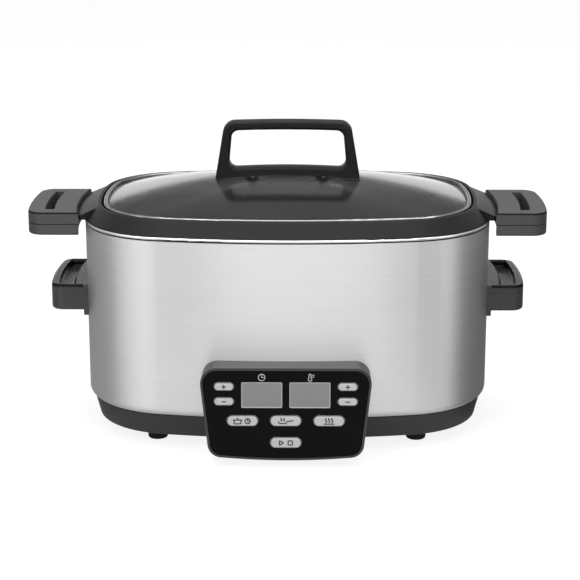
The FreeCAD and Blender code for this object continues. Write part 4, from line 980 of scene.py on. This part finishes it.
class COOKER_OT_console(bpy.types.Operator):
    """Finishes the faceplate and the displays, and adds the display frames and the signs over them"""

    bl_idname = "cooker.console"
    bl_label = "Console"

    sign_lift = 4.2 * MM

    def execute(self, context):
        colours, sizes = context.scene.cooker_colours, context.scene.cooker_sizes
        finish(gloss_acrylic(colours.plate), "console_faceplate")
        finish(blank_display(colours.display), *DISPLAY_SIGNS)
        frame_plastic = moulded_plastic("frame_plastic", colours.frame, roughness=0.35, texture_mm=0.6)
        ink = screen_ink("pale_screen_ink", colours.pale_ink)
        plate_level = face_flat("console_faceplate")[0][2]
        for name, strokes in DISPLAY_SIGNS.items():
            display_frame(name, sizes, frame_plastic)
            (right, up, _), (_, half_tall) = face_flat(name)
            spot = (right, up + half_tall + self.sign_lift, plate_level)
            sign_piece(f"{name}_sign", strokes, sizes.label_stroke, spot, ink, "base")
        return {"FINISHED"}


class COOKER_OT_buttons(bpy.types.Operator):
    """Finishes the push buttons and prints their signs"""

    bl_idname = "cooker.buttons"
    bl_label = "Buttons"

    def execute(self, context):
        colours, sizes = context.scene.cooker_colours, context.scene.cooker_sizes
        lacquer = silver_lacquer(colours.buttons)
        ink = screen_ink("dark_screen_ink", colours.ink)
        for body, strokes in BUTTON_SIGNS.items():
            (button,) = frame["record"]["behaviour"]["bodies"][body]
            finish(lacquer, button)
            spot, _ = face_flat(button)
            sign_piece(f"{button}_sign", strokes, sizes.stroke, spot, ink, body)
        return {"FINISHED"}


class COOKER_OT_inside(bpy.types.Operator):
    """Finishes the boards, their parts and all screws, and adds cross recesses to the upright screws"""

    bl_idname = "cooker.inside"
    bl_label = "Boards and screws"

    apart = 5 * MM

    def execute(self, context):
        colours = context.scene.cooker_colours
        finish(solder_mask(colours.board), "control_board", "power_board")
        cases = moulded_plastic("epoxy_case", colours.cases, roughness=0.4, texture_mm=0.8)
        finish(cases, "button_switches", "relay", "transformer")
        steel = bright_metal("plated_steel", colours.screws, roughness=0.32, mark_mm=1.5)
        black_steel = bright_metal("blackened_steel", colours.black_screws, roughness=0.4, mark_mm=1.5)
        finish(steel, *(name for name in NODES if name.endswith("_screws")))
        finish(black_steel, "lid_screws")
        upright = (
            ("cover_screws", "base", steel),
            ("pot_grip_screws", "pot", steel),
            ("lid_screws", "lid", black_steel),
        )
        for name, body, metal in upright:
            heads = [screw_crown(points) for points in clusters(node_points(name), self.apart)]
            new_piece(f"{name}_heads", heads, metal, body)
        return {"FINISHED"}


class COOKER_OT_stage(bpy.types.Operator):
    """Sets up the floor, the cards round the cooker, the lamps, the surround and the camera"""

    bl_idname = "cooker.stage"
    bl_label = "Stage"

    def execute(self, context):
        scene, settings = context.scene, context.scene.cooker_stage
        scene.view_settings.view_transform = "Standard"
        low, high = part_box("outer_shell")
        middle = Vector((0, (low.y + high.y) / 2, settings.target_height))
        self.lay_floor()
        self.set_cards()
        self.hang_lamps(scene, settings, middle)
        surround(scene, settings.surround)
        self.set_camera(scene, settings, middle)
        return {"FINISHED"}

    def lay_floor(self):
        floor = stage_plane("floor", floor_paper(), (0, 0, 0), (RIGHT, AWAY), (FLOOR_HALF, FLOOR_HALF))

    def set_cards(self):
        for row in CARDS:
            card = stage_plane(row.name, card_paper(row), row.middle, row.ways, row.half)
            card.visible_camera = card.visible_diffuse = card.visible_shadow = False

    def hang_lamps(self, scene, settings, middle):
        for row in LAMPS:
            lamp = bpy.data.lights.new(row.name, "AREA")
            lamp.shape = "SQUARE"
            lamp.size = row.size
            lamp.energy = getattr(settings, row.setting)
            stand = bpy.data.objects.new(row.name, lamp)
            stand.location = row.place
            stand.rotation_euler = (Vector(row.place) - middle).to_track_quat("Z", "Y").to_euler()
            scene.collection.objects.link(stand)

    def set_camera(self, scene, settings, middle):
        camera = bpy.data.cameras.new("camera")
        camera.lens = settings.lens
        camera.sensor_width = SENSOR_WIDTH_MM
        camera.sensor_fit = "HORIZONTAL"
        view = bpy.data.objects.new("camera", camera)
        level = math.cos(settings.elevation)
        right, ahead = math.sin(settings.azimuth) * level, math.cos(settings.azimuth) * level
        back = Vector((right, -ahead, math.sin(settings.elevation)))
        view.location = middle + Vector((settings.target_right, 0, 0)) + settings.distance * back
        view.rotation_euler = back.to_track_quat("Z", "Y").to_euler()
        scene.collection.objects.link(view)
        scene.camera = view


# Add-on


STEPS = (
    COOKER_OT_shell,
    COOKER_OT_pot,
    COOKER_OT_lid,
    COOKER_OT_housing,
    COOKER_OT_console,
    COOKER_OT_buttons,
    COOKER_OT_inside,
    COOKER_OT_stage,
)
GROUPS = {"cooker_colours": CookerColours, "cooker_sizes": CookerSizes, "cooker_stage": CookerStage}


class COOKER_PT_panel(bpy.types.Panel):
    """Lists the steps and the settings"""

    bl_label = "Slow cooker"
    bl_space_type = "VIEW_3D"
    bl_region_type = "UI"
    bl_category = "Cooker"

    def draw(self, context):
        for step in STEPS:
            self.layout.operator(step.bl_idname)
        for group, kind in GROUPS.items():
            box = self.layout.box()
            for name in kind.__annotations__:
                box.prop(getattr(context.scene, group), name)


def register():
    for kind in (*GROUPS.values(), *STEPS, COOKER_PT_panel):
        bpy.utils.register_class(kind)
    for group, kind in GROUPS.items():
        setattr(bpy.types.Scene, group, PointerProperty(type=kind))


def unregister():
    for group in GROUPS:
        delattr(bpy.types.Scene, group)
    for kind in reversed((*GROUPS.values(), *STEPS, COOKER_PT_panel)):
        bpy.utils.unregister_class(kind)


def main():
    register()
    for step in STEPS:
        area, name = step.bl_idname.split(".")
        getattr(getattr(bpy.ops, area), name)()


if __name__ == "__main__":
    main()
